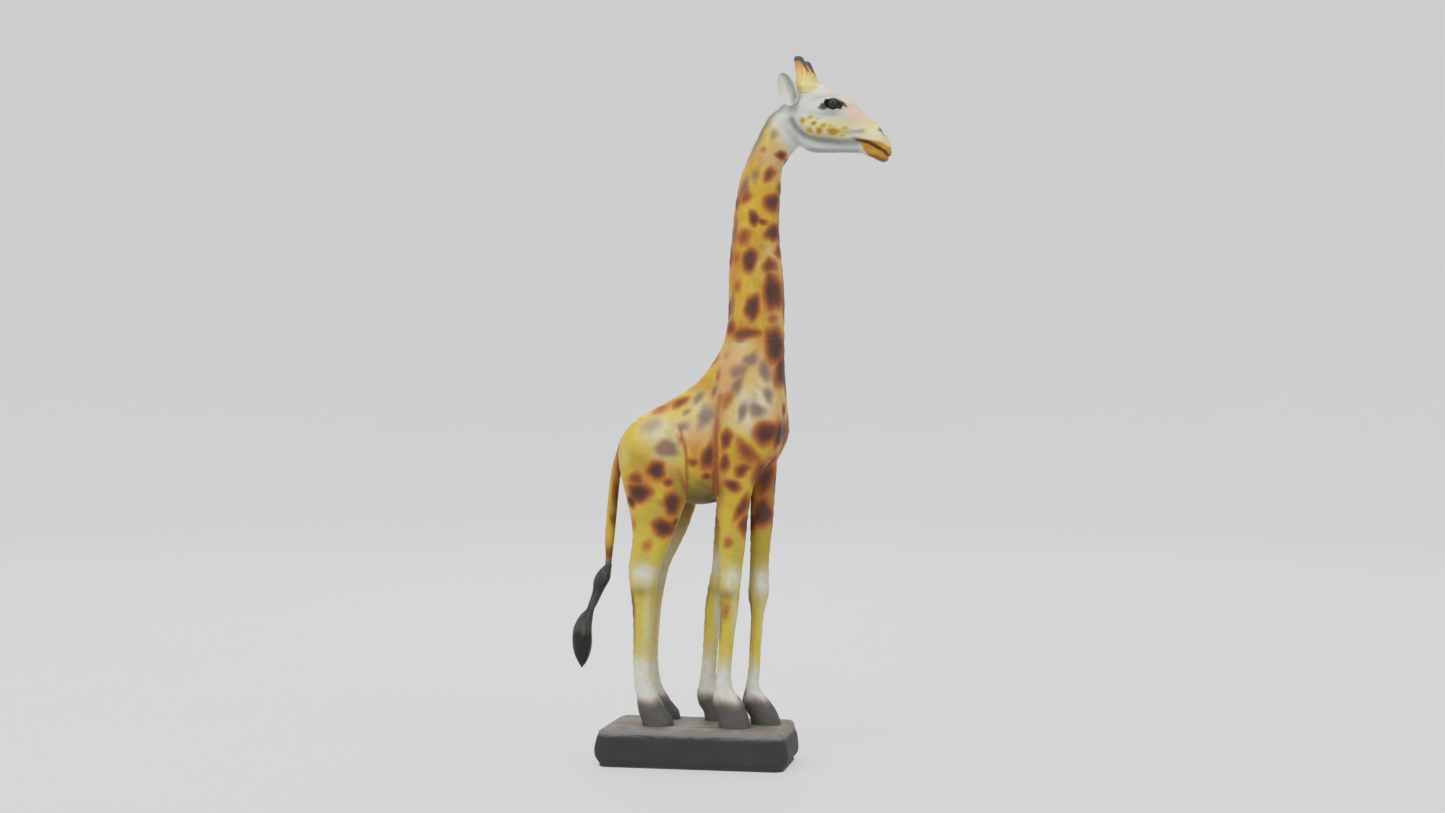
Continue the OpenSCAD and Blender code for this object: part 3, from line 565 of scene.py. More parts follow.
def meeting(grid, others, reach):
    """How far a smooth union with the other surfaces lifts this one, and how near each point is to them.

    Along a normal the lift t solves min(t, d + ct) = (reach - |d - (1 - c)t|)² / 4 reach, with d the distance
    to the other surface and c the cosine between the two normals. A point past the meeting line sinks back.
    """
    n = normals_of(grid).reshape(-1, 3)
    p = grid.reshape(-1, 3)
    lift = np.zeros(len(p))
    near = np.zeros(len(p))
    for other in others:
        skin, facing = other[::2, ::2].reshape(-1, 3), normals_of(other)[::2, ::2].reshape(-1, 3)
        low, high = skin.min(0) - reach, skin.max(0) + reach
        inside = np.flatnonzero(np.all((p > low) & (p < high), axis=1))
        for part in np.array_split(inside, max(1, len(inside) // 2000)):
            if not len(part):
                continue
            squares = (p[part] ** 2).sum(1)[:, None] + (skin ** 2).sum(1) - 2 * p[part] @ skin.T
            k = squares.argmin(1)
            away = np.sqrt(np.maximum(squares[np.arange(len(part)), k], 0))
            height = ((p[part] - skin[k]) * facing[k]).sum(1)
            d = np.sign(height) * np.maximum(np.abs(height), away - 2.5)
            g = np.clip(1 - (n[part] * facing[k]).sum(1), 0.05, 1.9)
            s = np.clip(reach - d, 0, reach * (1 - g / 4))
            b = 4 * reach - 2 * g * s
            t = (b - np.sqrt(np.maximum(b * b - 4 * g * g * s * s, 0))) / (2 * g * g)
            t = np.minimum(t, reach / 4) * np.clip(1 + d / reach, 0, 1)
            lift[part] = np.maximum(lift[part], t)
            line = np.exp(-(np.maximum(d - g * t, 0) / 2.4) ** 2) * eased(g, 0.08, 0.45)
            near[part] = np.maximum(near[part], line * (away < 12))
    return lift.reshape(grid.shape[:2]), near.reshape(grid.shape[:2])


def with_width(rows):
    """Leg, tail and tuft rows with the squareness and egg that the body's rows have."""
    return [row + [2.3, 0] for row in rows]


def domed(grid, first, last):
    """A grid whose end rings are drawn in to domes of those heights.

    A dome's rings are centre + ring * cos a, moved out by height * sin a, with a up to 80 degrees.
    """
    parts = [grid]
    for end, height in ((0, first), (-1, last)):
        if not height:
            continue
        ring = grid[end]
        centre = ring.mean(0)
        out = centre - grid[3 if end == 0 else -4].mean(0)
        out /= np.linalg.norm(out)
        angles = np.radians(np.linspace(0, 80, DOME_STEPS + 1))[1:, None, None]
        cap = centre + (ring - centre) * np.cos(angles) + out * height * np.sin(angles)
        parts = [cap[::-1]] + parts if end == 0 else parts + [cap]
    return np.concatenate(parts)


def ring_quads(rows, sides):
    """The points' numbers, those of their neighbours round the rings, and the quads between rings."""
    number = np.arange(rows * sides, dtype=np.int32).reshape(rows, sides)
    beside = np.roll(number, -1, 1)
    quads = np.stack((number[:-1], number[1:], beside[1:], beside[:-1]), -1).reshape(-1, 4)
    return number, beside, quads


def closed_mesh(name, grid, values=None, flat=(False, False), in_drawing=True):
    """A mesh of quads between rings, with a fan of triangles from each end ring to its middle.

    values are numbers stored at the points. flat says which of the two fans is shaded flat.
    """
    rows, sides = grid.shape[:2]
    number, beside, quads = ring_quads(rows, sides)
    start = np.full(sides, rows * sides, np.int32)
    fans = (np.stack((start, number[0], beside[0]), -1),
            np.stack((beside[-1], number[-1], start + 1), -1))
    points = np.concatenate((grid.reshape(-1, 3), [grid[0].mean(0), grid[-1].mean(0)]))
    if in_drawing:
        points = place(points)
    triangles = np.concatenate((quads[:, :3], quads[:, [0, 2, 3]], *fans))
    a, b, c = (points[triangles[:, k]] for k in range(3))
    if (a * np.cross(b, c)).sum() < 0:
        quads, fans = quads[:, ::-1], tuple(fan[:, ::-1] for fan in fans)
    corners = np.concatenate((quads.ravel(), fans[0].ravel(), fans[1].ravel()))
    counts = np.concatenate((np.full(len(quads), 4), np.full(2 * sides, 3)))

    mesh = bpy.data.meshes.new(name)
    mesh.vertices.add(len(points))
    mesh.vertices.foreach_set("co", points.astype(np.float32).ravel())
    mesh.loops.add(len(corners))
    mesh.loops.foreach_set("vertex_index", corners.astype(np.int32))
    mesh.polygons.add(len(counts))
    mesh.polygons.foreach_set("loop_start", (np.cumsum(counts) - counts).astype(np.int32))
    smooth = np.ones(len(counts), bool)
    smooth[len(quads):len(quads) + sides] = not flat[0]
    smooth[len(quads) + sides:] = not flat[1]
    mesh.polygons.foreach_set("use_smooth", smooth)
    for key, value in (values or {}).items():
        full = np.concatenate((value.ravel(), [value[0].mean(), value[-1].mean()]))
        layer = mesh.attributes.new(key, "FLOAT", "POINT")
        layer.data.foreach_set("value", full.astype(np.float32))
    mesh.update(calc_edges=True)
    if mesh.validate():
        raise RuntimeError(name + " had faces that Blender had to mend")
    piece = bpy.data.objects.new(name, mesh)
    bpy.context.scene.collection.objects.link(piece)
    return piece


def stand_for(piece, node, material):
    """The piece takes the CAD node's place and a material, and rides on the one body."""
    piece.data.materials.append(material)
    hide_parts(node)
    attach(piece, "root")


def finish_cad_nodes(nodes, material):
    """Puts the material in every slot of those CAD nodes."""
    for node in nodes:
        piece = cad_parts[node]
        if not piece.material_slots:
            piece.data.materials.append(material)
        for slot in piece.material_slots:
            slot.material = material


# ---- Carving ---------------------------------------------------------------


def almond(x, z):
    """1 on the edge of the eye opening: (|a| / half length)^1.7 + (b / half height)².

    a runs along the lids and b across them.
    """
    a = (x - EYE[0]) * math.cos(EYE_TILT) + (z - EYE[1]) * math.sin(EYE_TILT)
    b = -(x - EYE[0]) * math.sin(EYE_TILT) + (z - EYE[1]) * math.cos(EYE_TILT)
    return (np.abs(a) / EYE_HALF_LENGTH) ** 1.7 + (b / EYE_HALF_HEIGHT) ** 2


def eyelid_lift(grid):
    """A hollow inside the almond's edge, and a lid as a Gaussian ring just outside it, on both cheeks."""
    e = np.sqrt(almond(grid[..., 0], grid[..., 2]))
    outer = np.abs(grid[..., 1]) > 6
    lid = EYELID * np.exp(-((e - 1.22) / 0.2) ** 2)
    return outer * (lid - EYE_HOLLOW * (1 - eased(e, 0.86, 1.04)))


def carve_body(sizes):
    """Rump to nose as one grid, so that torso, neck and head run into each other, and its places u."""
    step = sizes.spacing
    u = np.concatenate((
        evenly(BODY, 0, NECK_FOOT, step * 1.08)[:-1],
        evenly(BODY, NECK_FOOT, HEAD_FOOT, step)[:-1],
        evenly(BODY, HEAD_FOOT, len(BODY) - 1, step * 0.5)))
    grid = rings(BODY, u, BODY_SIDES)
    grid = pushed(grid, sizes.carving * (bump_lift(grid, BODY_BUMPS) + groove_lift(grid, BODY_GROOVES)))
    along = np.cos(turns(BODY_SIDES))
    height = eased(grid[..., 2], 370, 400) * (1 - eased(u, HEAD_FOOT - 0.6, HEAD_FOOT + 0.6))[:, None]
    mane = 0.9 * np.exp(-((1 - along) / 0.03) ** 2) * height
    head = (u > HEAD_FOOT - 2)[:, None]
    face = bump_lift(grid, HEAD_BUMPS) + groove_lift(grid, HEAD_GROOVES)
    grid = pushed(grid, mane + head * sizes.carving * face)
    grid = pushed(grid, tooling(grid, 17, 0.28) + tooling(grid, 6, 0.07))
    return pushed(grid, head * eyelid_lift(grid)), u


def carve_leg(node, sizes):
    """A leg as a loft, with a dip along the shank between bone and tendon, a coronet and a cloven toe."""
    rows, side = LEGS[node]
    rows = with_width([row[:4] + [side * row[4]] + row[5:] for row in rows])
    grid = rings(rows, evenly(rows, 0, len(rows) - 1, sizes.spacing), LIMB_SIDES)
    z = grid[..., 2]
    along, across = np.cos(turns(LIMB_SIDES)), np.sin(turns(LIMB_SIDES))
    shank = eased(z, 68, 84) * (1 - eased(z, 122, 140))
    dip = -0.8 * np.exp(-((along - 0.38) / 0.2) ** 2) * shank
    knee = 0.7 * np.exp(-((z - 152) / 9) ** 2) * np.abs(across) ** 3
    toe = -1.6 * np.exp(-(across / 0.1) ** 2) * (along < 0) * (1 - eased(z, 44, 53))
    coronet = 0.5 * np.exp(-((z - 52) / 2.5) ** 2) * (along < 0.6)
    lift = dip + knee + toe + coronet
    if "middle" not in node:
        lift = lift + bump_lift(grid, LEG_BUMPS["front" if "front" in node else "hind"])
    grid = pushed(grid, sizes.carving * lift + tooling(grid, 13, 0.25))
    grid = domed(grid, 3, 0)
    sole = grid[-1] * (1, 1, 0) + (0, 0, DRAWN_HEIGHTS[0] - 0.7)
    return np.concatenate((grid, sole[None]))


def carve_tail(rows, sizes, strands, depth):
    """A loft with strands: depth * |sin(strands * angle / 2 + a twist that grows down the rows)|."""
    rows = with_width(rows)
    grid = rings(rows, evenly(rows, 0, len(rows) - 1, sizes.spacing * 0.6), LIMB_SIDES)
    turn = turns(LIMB_SIDES)
    twist = strands * turn[None, :] / 2 + 0.09 * (grid[..., 2] - 150)
    drawn = 0.25 + 0.75 * np.exp(-((grid[..., 2] - 94) / 14) ** 2)
    lift = depth * drawn * (np.abs(np.sin(twist)) - 0.6) * (0.6 + 0.4 * np.sin(3 * turn + 1)[None, :])
    return domed(pushed(grid, lift), 1.5, 1.5)


SHAPES = {}


def carved(sizes):
    """Every carved piece's grid, blended where pieces meet, and how near its points are to such a place.

    They are worked out once and kept.
    """
    if SHAPES:
        return SHAPES
    body, u = carve_body(sizes)
    legs = {node: carve_leg(node, sizes) for node in LEGS}
    tail = carve_tail(TAIL, sizes, 5, 0.12)
    tuft = carve_tail(TUFT, sizes, 5, 1.1)
    waist = int(np.searchsorted(u, NECK_FOOT))
    trunk = body[:waist + 1]
    lift, near = meeting(body, list(legs.values()), sizes.fillet)
    tail_lift, tail_near = meeting(body, [tail], TAIL_FILLET)
    grids = {"body": (pushed(body, np.maximum(lift, tail_lift)), np.maximum(near, tail_near))}
    for node, grid in legs.items():
        lift, near = meeting(grid, [trunk], sizes.fillet)
        grids[node] = (pushed(grid, lift), near)
    lift, near = meeting(tail, [trunk], TAIL_FILLET)
    grids["tail"] = (pushed(tail, lift), near)
    grids["tail_tuft"] = (tuft, np.zeros(tuft.shape[:2]))
    throat = int(np.searchsorted(u, HEAD_FOOT))
    body, near = grids.pop("body")
    grids["torso"] = (domed(body[:waist + 1], 2.5, 0),
                      np.concatenate((near[:1],) * DOME_STEPS + (near[:waist + 1],)))
    grids["neck"] = (body[waist:throat + 1], near[waist:throat + 1])
    grids["head"] = (domed(body[throat:], 0, 1.2),
                     np.concatenate((near[throat:],) + (near[-1:],) * DOME_STEPS))
    SHAPES.update(grids)
    return SHAPES


# ---- Painting --------------------------------------------------------------


def spots_on(grid, spots, across, depth, facing):
    """Darkness of painted spots.

    A spot is an ellipse in the flat view, counted in its half sizes, with a waver of sines round its edge
    and some weight on depth, so that it doesn't smear over an edge. It fades from strength at its middle to
    0 at 1.8.
    """
    n = normals_of(grid)[..., depth] * facing
    dark = np.zeros(grid.shape[:2])
    for k, (place_a, place_z, length, width, lean, strength) in enumerate(spots):
        reach = 1.1 * length + 4
        near = ((np.abs(grid[..., across] - place_a) < reach) & (np.abs(grid[..., 2] - place_z) < reach)
                & (n > -0.3) & (((depth == 0) & (facing < 0)) | (grid[..., depth] * facing > -4)))
        if not near.any():
            continue
        q = grid[near]
        a, b, out = q[:, across] - place_a, q[:, 2] - place_z, q[:, depth] * facing
        flat = np.hypot(a, b)
        close = flat <= max(2.5, flat.min() + 0.5)
        lean = math.radians(lean)
        along = (a * math.cos(lean) + b * math.sin(lean)) / (length / 1.75)
        beside = (b * math.cos(lean) - a * math.sin(lean)) / (width / 1.75)
        deep = 0.55 * (out - out[close].max()) / (length / 2)
        turn = np.arctan2(beside, along)
        waver = 1 + 0.08 * np.sin(3 * turn + 1.7 * k) + 0.04 * np.sin(5 * turn + 2.9 * k)
        r = np.sqrt(along ** 2 + beside ** 2 + deep ** 2) * waver
        dark[near] = np.maximum(dark[near], strength * (1 - eased(r, 0, 1.8)))
    return dark


def wash(grid, washes):
    """1 minus the product of 1 - strength * exp(-q), q being the squared distance in a wash's half sizes."""
    clear = np.ones(grid.shape[:2])
    for x, z, half_length, half_height, strength in washes:
        q = ((grid[..., 0] - x) / half_length) ** 2 + ((grid[..., 2] - z) / half_height) ** 2
        clear *= 1 - strength * np.exp(-q)
    return 1 - clear


def moved(spots):
    """The same spots a little further on and lower, for the left side."""
    return [(x + LEFT_SHIFT[0], z + LEFT_SHIFT[1], *rest) for x, z, *rest in spots]


def hide_values(node, grid, near):
    """The hide's paints as numbers at the points.

    They are spots, washes, painted sheen, lemon shanks, white joints, hooves, painted shadows, creases, and
    the grey nape.
    """
    x, y, z = (grid[..., k] for k in range(3))
    n = normals_of(grid)
    dark, spot_under_sheen = (np.maximum(spots_on(grid, spots, 0, 1, -1), spots_on(grid, moved(spots), 0, 1, 1))
                   for spots in (RIGHT_SPOTS, RIGHT_SPOTS_UNDER_SHEEN))
    dark = np.maximum(dark, spots_on(grid, FRONT_SPOTS, 1, 0, 1))
    dark = np.maximum(dark, spots_on(grid, BACK_SPOTS, 1, 0, -1))
    leg, tail, upper = node.endswith("_leg"), node == "tail", node in ("neck", "head")
    outer_leg = node != "middle_front_leg"
    # Painted shade: darker under the belly and on the upper inner sides of the legs
    belly = eased(-n[..., 2], 0.15, 0.8) * (1 - eased(z, 236, 262)) if node == "torso" else 0 * z
    if leg:
        shaded_inner_side = eased(-n[..., 1] * LEGS[node][1], 0.1, 0.7) * outer_leg
        belly = 0.7 * shaded_inner_side * eased(z, 190, 232)
    # The far legs, left and middle, get painted shade: less lemon and more olive
    far = node.startswith(("left", "middle"))
    sole = 1 - eased(z + 1.2 * np.sin(0.25 * x + 0.3 * y), 43, 63)
    streak = wash(grid, TAIL_STREAKS) if tail else 0 * z
    shank = (1 - eased(z, 150, 176)) * leg
    lemon = (1 - eased(z, 188, 226)) * leg * (0.9 - 0.35 * far)
    near = near * np.where(x > 10, 1 - eased(z, 290, 312), 0.55 * (1 - eased(z, 240, 262)))
    for line, half_width, strength in CREASES:
        brushed = strength * stroke(x, z, line, half_width) * (np.abs(y) > 9)
        near = np.maximum(near, brushed * (1 - 0.5 * eased(z, 250, 312)) * outer_leg)
    low_white = (1 - eased(z + 0.3 * (x - x.mean(1, keepdims=True)), 64, 100)) * leg
    inner = 0.55 * eased(-n[..., 1], 0.1, 0.7) * (node == "left_hind_leg")
    inner = inner * eased(z, 130, 155) * (1 - eased(z, 175, 215))
    return {
        "spot": dark * (1 - sole * leg), "spot_under_sheen": spot_under_sheen, "pale": wash(grid, PALE_SHEEN_WASHES) * (1 - belly),
        "pink_sheen": wash(grid, PINK_SHEEN_WASHES), "lemon": lemon,
        "orange": np.maximum(wash(grid, ORANGE_WASHES) * (1 - leg * (z < 120)), streak),
        # Olive painted shade, stronger on the far legs
        "olive_shade": np.maximum(wash(grid, OLIVE_SHADE_WASHES), 0.45 * far * leg * eased(z, 100, 190)),
        "white": np.maximum(np.maximum(wash(grid, WHITE_WASHES) * (leg * (z < 185)), low_white), inner),
        "brown": wash(grid, BROWN_WASHES) * shank + streak * 0.9,
        "hoof": sole * leg + tail * (1 - eased(z, 165, 176)) * 0.9, "shade": belly, "crease": near,
        "face": eased(x - 72 + 0.6 * (z - 535), -15, 9) * upper * (z > 500),
        "nape": eased(n[..., 2] - n[..., 0], 0.5, 1.4) * eased(z, 505, 530) * (1 - eased(x, 74, 84)) * upper,
    }


AMBER_SPOTS = [
    (93.5, 543.5, 5, 5, 60, 0.7), (100, 546, 5.5, 3.4, 20, 0.65), (103, 541, 4.6, 3.4, 20, 0.9),
    (99.5, 535, 6.8, 4.6, -40, 0.75), (107.5, 534.5, 5.8, 5, 60, 0.95), (111, 539, 5.5, 3.6, 20, 0.65),
    (119, 534, 9, 5.4, 0, 1.05), (126.5, 531, 5, 3.2, 0, 0.65), (128.5, 537, 5.5, 3.2, 10, 0.5),
    (106, 545, 4, 2.4, 0, 0.4), (117, 538.5, 5, 3.2, 0, 0.4), (113, 531, 5, 2.4, 0, 0.35),
]
BLUSH_WASHES = [
    (133, 556, 9, 5, 0.95), (140, 548, 9, 5, 0.8), (122, 566, 9, 4, 0.6), (150, 543, 8, 3, 0.4),
    (112, 574, 9, 3, 0.6), (100, 568, 6, 5, 0.2),
]
CREAM_WASHES = [
    (112, 539, 18, 4.5, 0.75), (122, 538, 12, 4.5, 0.9), (134, 541, 12, 5, 0.6), (150, 535, 9, 7, 0.95),
    (162, 526, 6, 8, 0.9), (154, 541, 8, 4, 0.8), (122, 532, 12, 3, 0.7), (118, 573, 9, 2.5, 0.5),
    (98, 573, 11, 5, 0.8),
]
# Painted shadows of the face: x, z, half length, half height, strength
FACE_SHADOW_WASHES = [
    (84, 552, 5, 6, 0.3), (118, 549, 9, 2.4, 0.5), (112, 549.5, 14, 3, 0.25), (88, 560, 4, 5, 0.2),
    (80, 538, 5, 12, 0.2), (90, 536, 7, 7, 0.5), (108, 563, 8, 2.5, 0.15), (130, 533.5, 9, 2.6, 0.4),
]
# Shadows painted along the jaw: points, half width, strength
GREY_LINES = [
    ([(84, 545), (88, 538), (95, 532), (106, 528), (124, 525.8), (138, 525.5)], 3.4, 0.85),
    ([(96, 520), (110, 518.8), (124, 518.6), (138, 518.4)], 1.8, 0.6),
    ([(125, 533.2), (133, 532.8), (143, 534)], 2.4, 0.55),
]
BROW = [(114, 560), (119, 562), (125, 560.5), (129.5, 555)]


def face_values(grid):
    """The face's own paints: amber dabs, blush, cream, grey shadows, lips, mouth line, brown painted shade
    under the lips and chin, and black eye rims.
    """
    x, z = grid[..., 0], grid[..., 2]
    n = normals_of(grid)
    amber = np.maximum(spots_on(grid, AMBER_SPOTS, 0, 1, -1), spots_on(grid, AMBER_SPOTS, 0, 1, 1))
    e = np.sqrt(almond(x, z))
    lash = np.exp(-((((x - 110.8) / 5.2) ** 2 + ((z - 554.4) / 2.8) ** 2) ** 1.5))
    brow = stroke(x, z, BROW, 1.3)
    mouth, nostrils = HEAD_GROOVES[0][0], HEAD_GROOVES[1][0]
    nostril = stroke(x, z, nostrils, 1.9)
    top = np.interp(x, (138, 146, 154, 160, 164, 168), (528.2, 527.8, 526, 524, 521.5, 521))
    lips = eased(x - 139 - 0.7 * (526 - z), -1.5, 3) * (1 - eased(z - top, -1.6, 1.6))
    grey = wash(grid, FACE_SHADOW_WASHES)
    for line, half_width, strength in GREY_LINES:
        grey = np.maximum(grey, strength * stroke(x, z, line, half_width))
    outer = np.abs(grid[..., 1]) > 5
    rim = 1 - eased(e + 0.12 * np.sin(0.9 * x + 0.6 * z), 0.95, 1.4)
    # Brown along the mouth line and nostrils, plus painted shade on the downward faces of the lips and chin
    lip_line_and_under_shade = lips * np.clip(0.9 * stroke(x, z, mouth, 2.0) + eased(-n[..., 2], 0.35, 0.9), 0, 1)
    return {
        "amber": amber, "blush": wash(grid, BLUSH_WASHES), "cream": wash(grid, CREAM_WASHES),
        "grey": grey, "lips": lips, "lip_line_and_under_shade": np.maximum(lip_line_and_under_shade, 0.85 * nostril),
        "black": np.clip(rim + 0.85 * lash + 0.6 * brow, 0, 1) * outer,
        "line": np.maximum(0.9 * stroke(x, z, mouth, 1.0) * (x > 137), 0.4 * nostril),
    }


class Tone:
    """A number that varies over a surface. Arithmetic on it adds Math nodes to its recipe."""

    def __init__(self, recipe, socket):
        self.recipe, self.socket = recipe, socket

    def math(self, operation, first, second):
        node = self.recipe.add("ShaderNodeMath", {"operation": operation}, {0: first, 1: second})
        return Tone(self.recipe, node.outputs[0])

    def __add__(self, other):
        return self.math("ADD", self, other)

    def __sub__(self, other):
        return self.math("SUBTRACT", self, other)

    def __mul__(self, other):
        return self.math("MULTIPLY", self, other)

    __radd__ = __add__
    __rmul__ = __mul__

    def between(self, low, high):
        """0 at low and below, 1 at high and above, smooth between."""
        node = self.recipe.add("ShaderNodeMapRange", {"interpolation_type": "SMOOTHSTEP"},
                               {"Value": self, "From Min": low, "From Max": high})
        return Tone(self.recipe, node.outputs["Result"])


class Recipe:
    """One material's nodes, ending in a Principled shader."""

    def __init__(self, name):
        self.material = bpy.data.materials.new(name)
        self.material.use_nodes = True
        self.tree = self.material.node_tree
        self.tree.nodes.clear()
        self.shader = self.add("ShaderNodeBsdfPrincipled")
        self.add("ShaderNodeOutputMaterial", {}, {"Surface": self.shader.outputs[0]})
        self.where = self.add("ShaderNodeTexCoord").outputs["Object"]

    def add(self, kind, settings=None, sockets=None):
        """A node of that kind: its settings first, then its sockets as values, Tones or links."""
        node = self.tree.nodes.new(kind)
        for key, value in (settings or {}).items():
            setattr(node, key, value)
        for key, value in (sockets or {}).items():
            value = value.socket if isinstance(value, Tone) else value
            if isinstance(value, bpy.types.NodeSocket):
                self.tree.links.new(value, node.inputs[key])
            else:
                node.inputs[key].default_value = value
        return node

    def stretched(self, scale, turn=(0, 0, 0)):
        """Object coordinates times scale, for patterns longer one way than the other."""
        node = self.add("ShaderNodeMapping", {}, {"Vector": self.where, "Scale": scale, "Rotation": turn})
        return node.outputs[0]

    def noise(self, scale, detail=4.0, rough=0.55, where=None):
        node = self.add("ShaderNodeTexNoise", {}, {
            "Vector": where or self.where, "Scale": scale, "Detail": detail, "Roughness": rough})
        return Tone(self, node.outputs[0])

    def painted(self, name):
        """A number stored at the mesh's points."""
        node = self.add("ShaderNodeAttribute", {"attribute_type": "GEOMETRY", "attribute_name": name})
        return Tone(self, node.outputs["Fac"])

    def mix(self, under, over, amount):
        """under where amount is 0, over where it is 1."""
        node = self.add("ShaderNodeMix", {"data_type": "RGBA", "clamp_factor": True}, {
            0: amount, 6: colour(under), 7: colour(over)})
        return node.outputs[2]

    def finish(self, base, roughness, height=None, depth=0.0, distance=0.001, **fixed):
        """Sets base colour and roughness, a bump if there is one, and sockets that are the same all over."""
        values = {"Base Color": base, "Roughness": roughness}
        if height is not None:
            values["Normal"] = self.add("ShaderNodeBump", {}, {
                "Height": height, "Strength": depth, "Distance": distance}).outputs[0]
        values.update({key.replace("_", " "): value for key, value in fixed.items()})
        for key, value in values.items():
            value = value.socket if isinstance(value, Tone) else value
            if isinstance(value, bpy.types.NodeSocket):
                self.tree.links.new(value, self.shader.inputs[key])
            else:
                self.shader.inputs[key].default_value = colour(value)
        return self.material


def colour(value):
    """Three numbers become an opaque colour, and anything else is left as it is."""
    if isinstance(value, bpy.types.NodeSocket) or isinstance(value, (int, float)):
        return value
    return (*value[:3], 1.0)


def paint(red, green, blue):
    """A paint given as screen numbers up to 255, as linear light: ((v + 0.055) / 1.055)^2.4."""
    return tuple(((v / 255 + 0.055) / 1.055) ** 2.4 for v in (red, green, blue))


def hide_paint(name, paints, face=False):
    """The coat: yellow ground, washes, painted sheen and painted shade, the face's paints, brushed spots,
    creases and hooves.
    """
    r = Recipe(name)
    brush = r.noise(1.0, 5, 0.6, r.stretched((260, 260, 90)))
    cloud = r.noise(38, 4, 0.55)
    speck = r.noise(420, 3, 0.6)
    base = r.mix(paints.ground, paints.gold, cloud.between(0.38, 0.66))
    base = r.mix(base, paints.lemon, r.painted("lemon") * (0.45 + 0.6 * cloud))
    base = r.mix(base, paints.orange, r.painted("orange") * (0.35 + 0.9 * brush.between(0.3, 0.7)))
    # Olive painted shade
    base = r.mix(base, paints.olive_shade, r.painted("olive_shade") * (0.3 + 0.8 * cloud))
    # pale is painted sheen: cream highlights laid over the coat
    pale = r.painted("pale")
    # Pink painted sheen over the withers and shoulder
    base = r.mix(base, paints.pink_sheen, r.painted("pink_sheen") * (0.45 + 0.5 * brush.between(0.3, 0.65)))
    base = r.mix(base, paints.cream, pale * (0.65 + 0.4 * brush.between(0.3, 0.65)))
    # Grey-purple clouds inside the painted sheen
    base = r.mix(base, paints.sheen_lilac, (pale * r.noise(75, 3).between(0.52, 0.66)) * 0.35)
    base = r.mix(base, paints.white, r.painted("white") * (0.55 + 0.7 * brush.between(0.25, 0.6)))
    base = r.mix(base, paints.white, r.painted("face"))
    if face:
        base = r.mix(base, paints.face_cream, r.painted("cream") * (0.5 + 0.6 * cloud))
        base = r.mix(base, paints.blush, r.painted("blush") * (0.4 + 0.8 * brush))
        base = r.mix(base, paints.face_grey, r.painted("grey") * (0.5 + 0.6 * cloud))
        base = r.mix(base, paints.amber_halo, r.painted("amber").between(0.02, 0.35) * 0.9)
        base = r.mix(base, paints.amber, r.painted("amber").between(0.2, 0.85) * (0.55 + 0.6 * cloud))
        base = r.mix(base, paints.lips, (r.painted("lips") + 0.25 * (brush - 0.5)).between(0.1, 0.8))
        # Mouth line and nostrils, and painted shade under the lips and chin
        base = r.mix(base, paints.lip_line_and_shade_brown, r.painted("lip_line_and_under_shade") * (0.5 + 0.6 * brush))
        black = r.painted("black") + 0.3 * (brush - 0.5)
        base = r.mix(base, paints.eye_black, black.between(0.15, 0.9) * 0.92)
        base = r.mix(base, paints.eye_black, r.painted("line") * 0.8)
    # Real spots, greyed by the painted sheen laid over them
    spot_under_sheen = r.painted("spot_under_sheen") + 0.25 * (cloud - 0.5)
    base = r.mix(base, paints.spot_under_sheen, spot_under_sheen.between(0.12, 0.95) * 0.85)
    spot = r.painted("spot") + 0.22 * (brush - 0.5) + 0.1 * (speck - 0.5)
    base = r.mix(base, paints.orange, spot.between(0.05, 0.45) * 0.75)
    base = r.mix(base, paints.halo, spot.between(0.2, 0.65) * 0.8)
    base = r.mix(base, paints.spot_warm, spot.between(0.36, 0.85) * 0.85)
    base = r.mix(base, paints.spot, spot.between(0.6, 1.05) * (0.5 + 0.8 * cloud))
    crease = r.painted("crease") + 0.5 * (brush - 0.5)
    base = r.mix(base, paints.halo, crease.between(0.0, 0.6) * r.painted("crease").between(0.02, 0.2) * 0.7)
    base = r.mix(base, paints.crease, crease.between(0.35, 1.15) * 0.8)
    # Painted shade under the belly and on the legs' inner sides
    base = r.mix(base, paints.shade, r.painted("shade") * (0.75 + 0.3 * cloud))
    brown = r.painted("brown") + 0.3 * (brush - 0.5)
    base = r.mix(base, paints.spot_warm, brown.between(0.15, 0.95) * 0.8)
    base = r.mix(base, paints.hoof, r.painted("nape") * 0.8)
    hoof = r.painted("hoof") + 0.25 * (brush - 0.5)
    base = r.mix(base, paints.hoof_brown, hoof.between(0.05, 0.6) * 0.9)
    base = r.mix(base, paints.hoof, (hoof + 0.4 * (cloud - 0.5)).between(0.45, 0.9))
    base = r.mix(base, paints.dust, speck.between(0.62, 0.78) * 0.08)
    height = 0.6 * brush + 0.25 * speck + 0.6 * cloud
    return r.finish(base, 0.36 + 0.22 * brush, height, 0.35, 0.0008, Coat_Weight=0.12, Coat_Roughness=0.28,
                    Specular_IOR_Level=0.32)


def ear_paint(paints):
    """White paint thinned over the cup, with painted shade in the hollow, and warm at the rim."""
    r = Recipe("Ear paint")
    brush = r.noise(1.0, 4, 0.6, r.stretched((300, 300, 120)))
    cloud = r.noise(120, 3)
    base = r.mix(paints.white, paints.ear_rim, cloud.between(0.4, 0.7))
    # Painted shade in the ear's hollow
    base = r.mix(base, paints.face_grey, r.painted("cup") * (0.25 + 0.8 * brush))
    base = r.mix(base, paints.face_cream, r.painted("rim") * 0.12)
    return r.finish(base, 0.4 + 0.2 * brush, brush + 0.5 * cloud, 0.3, 0.0006, Coat_Weight=0.2,
                    Coat_Roughness=0.3)


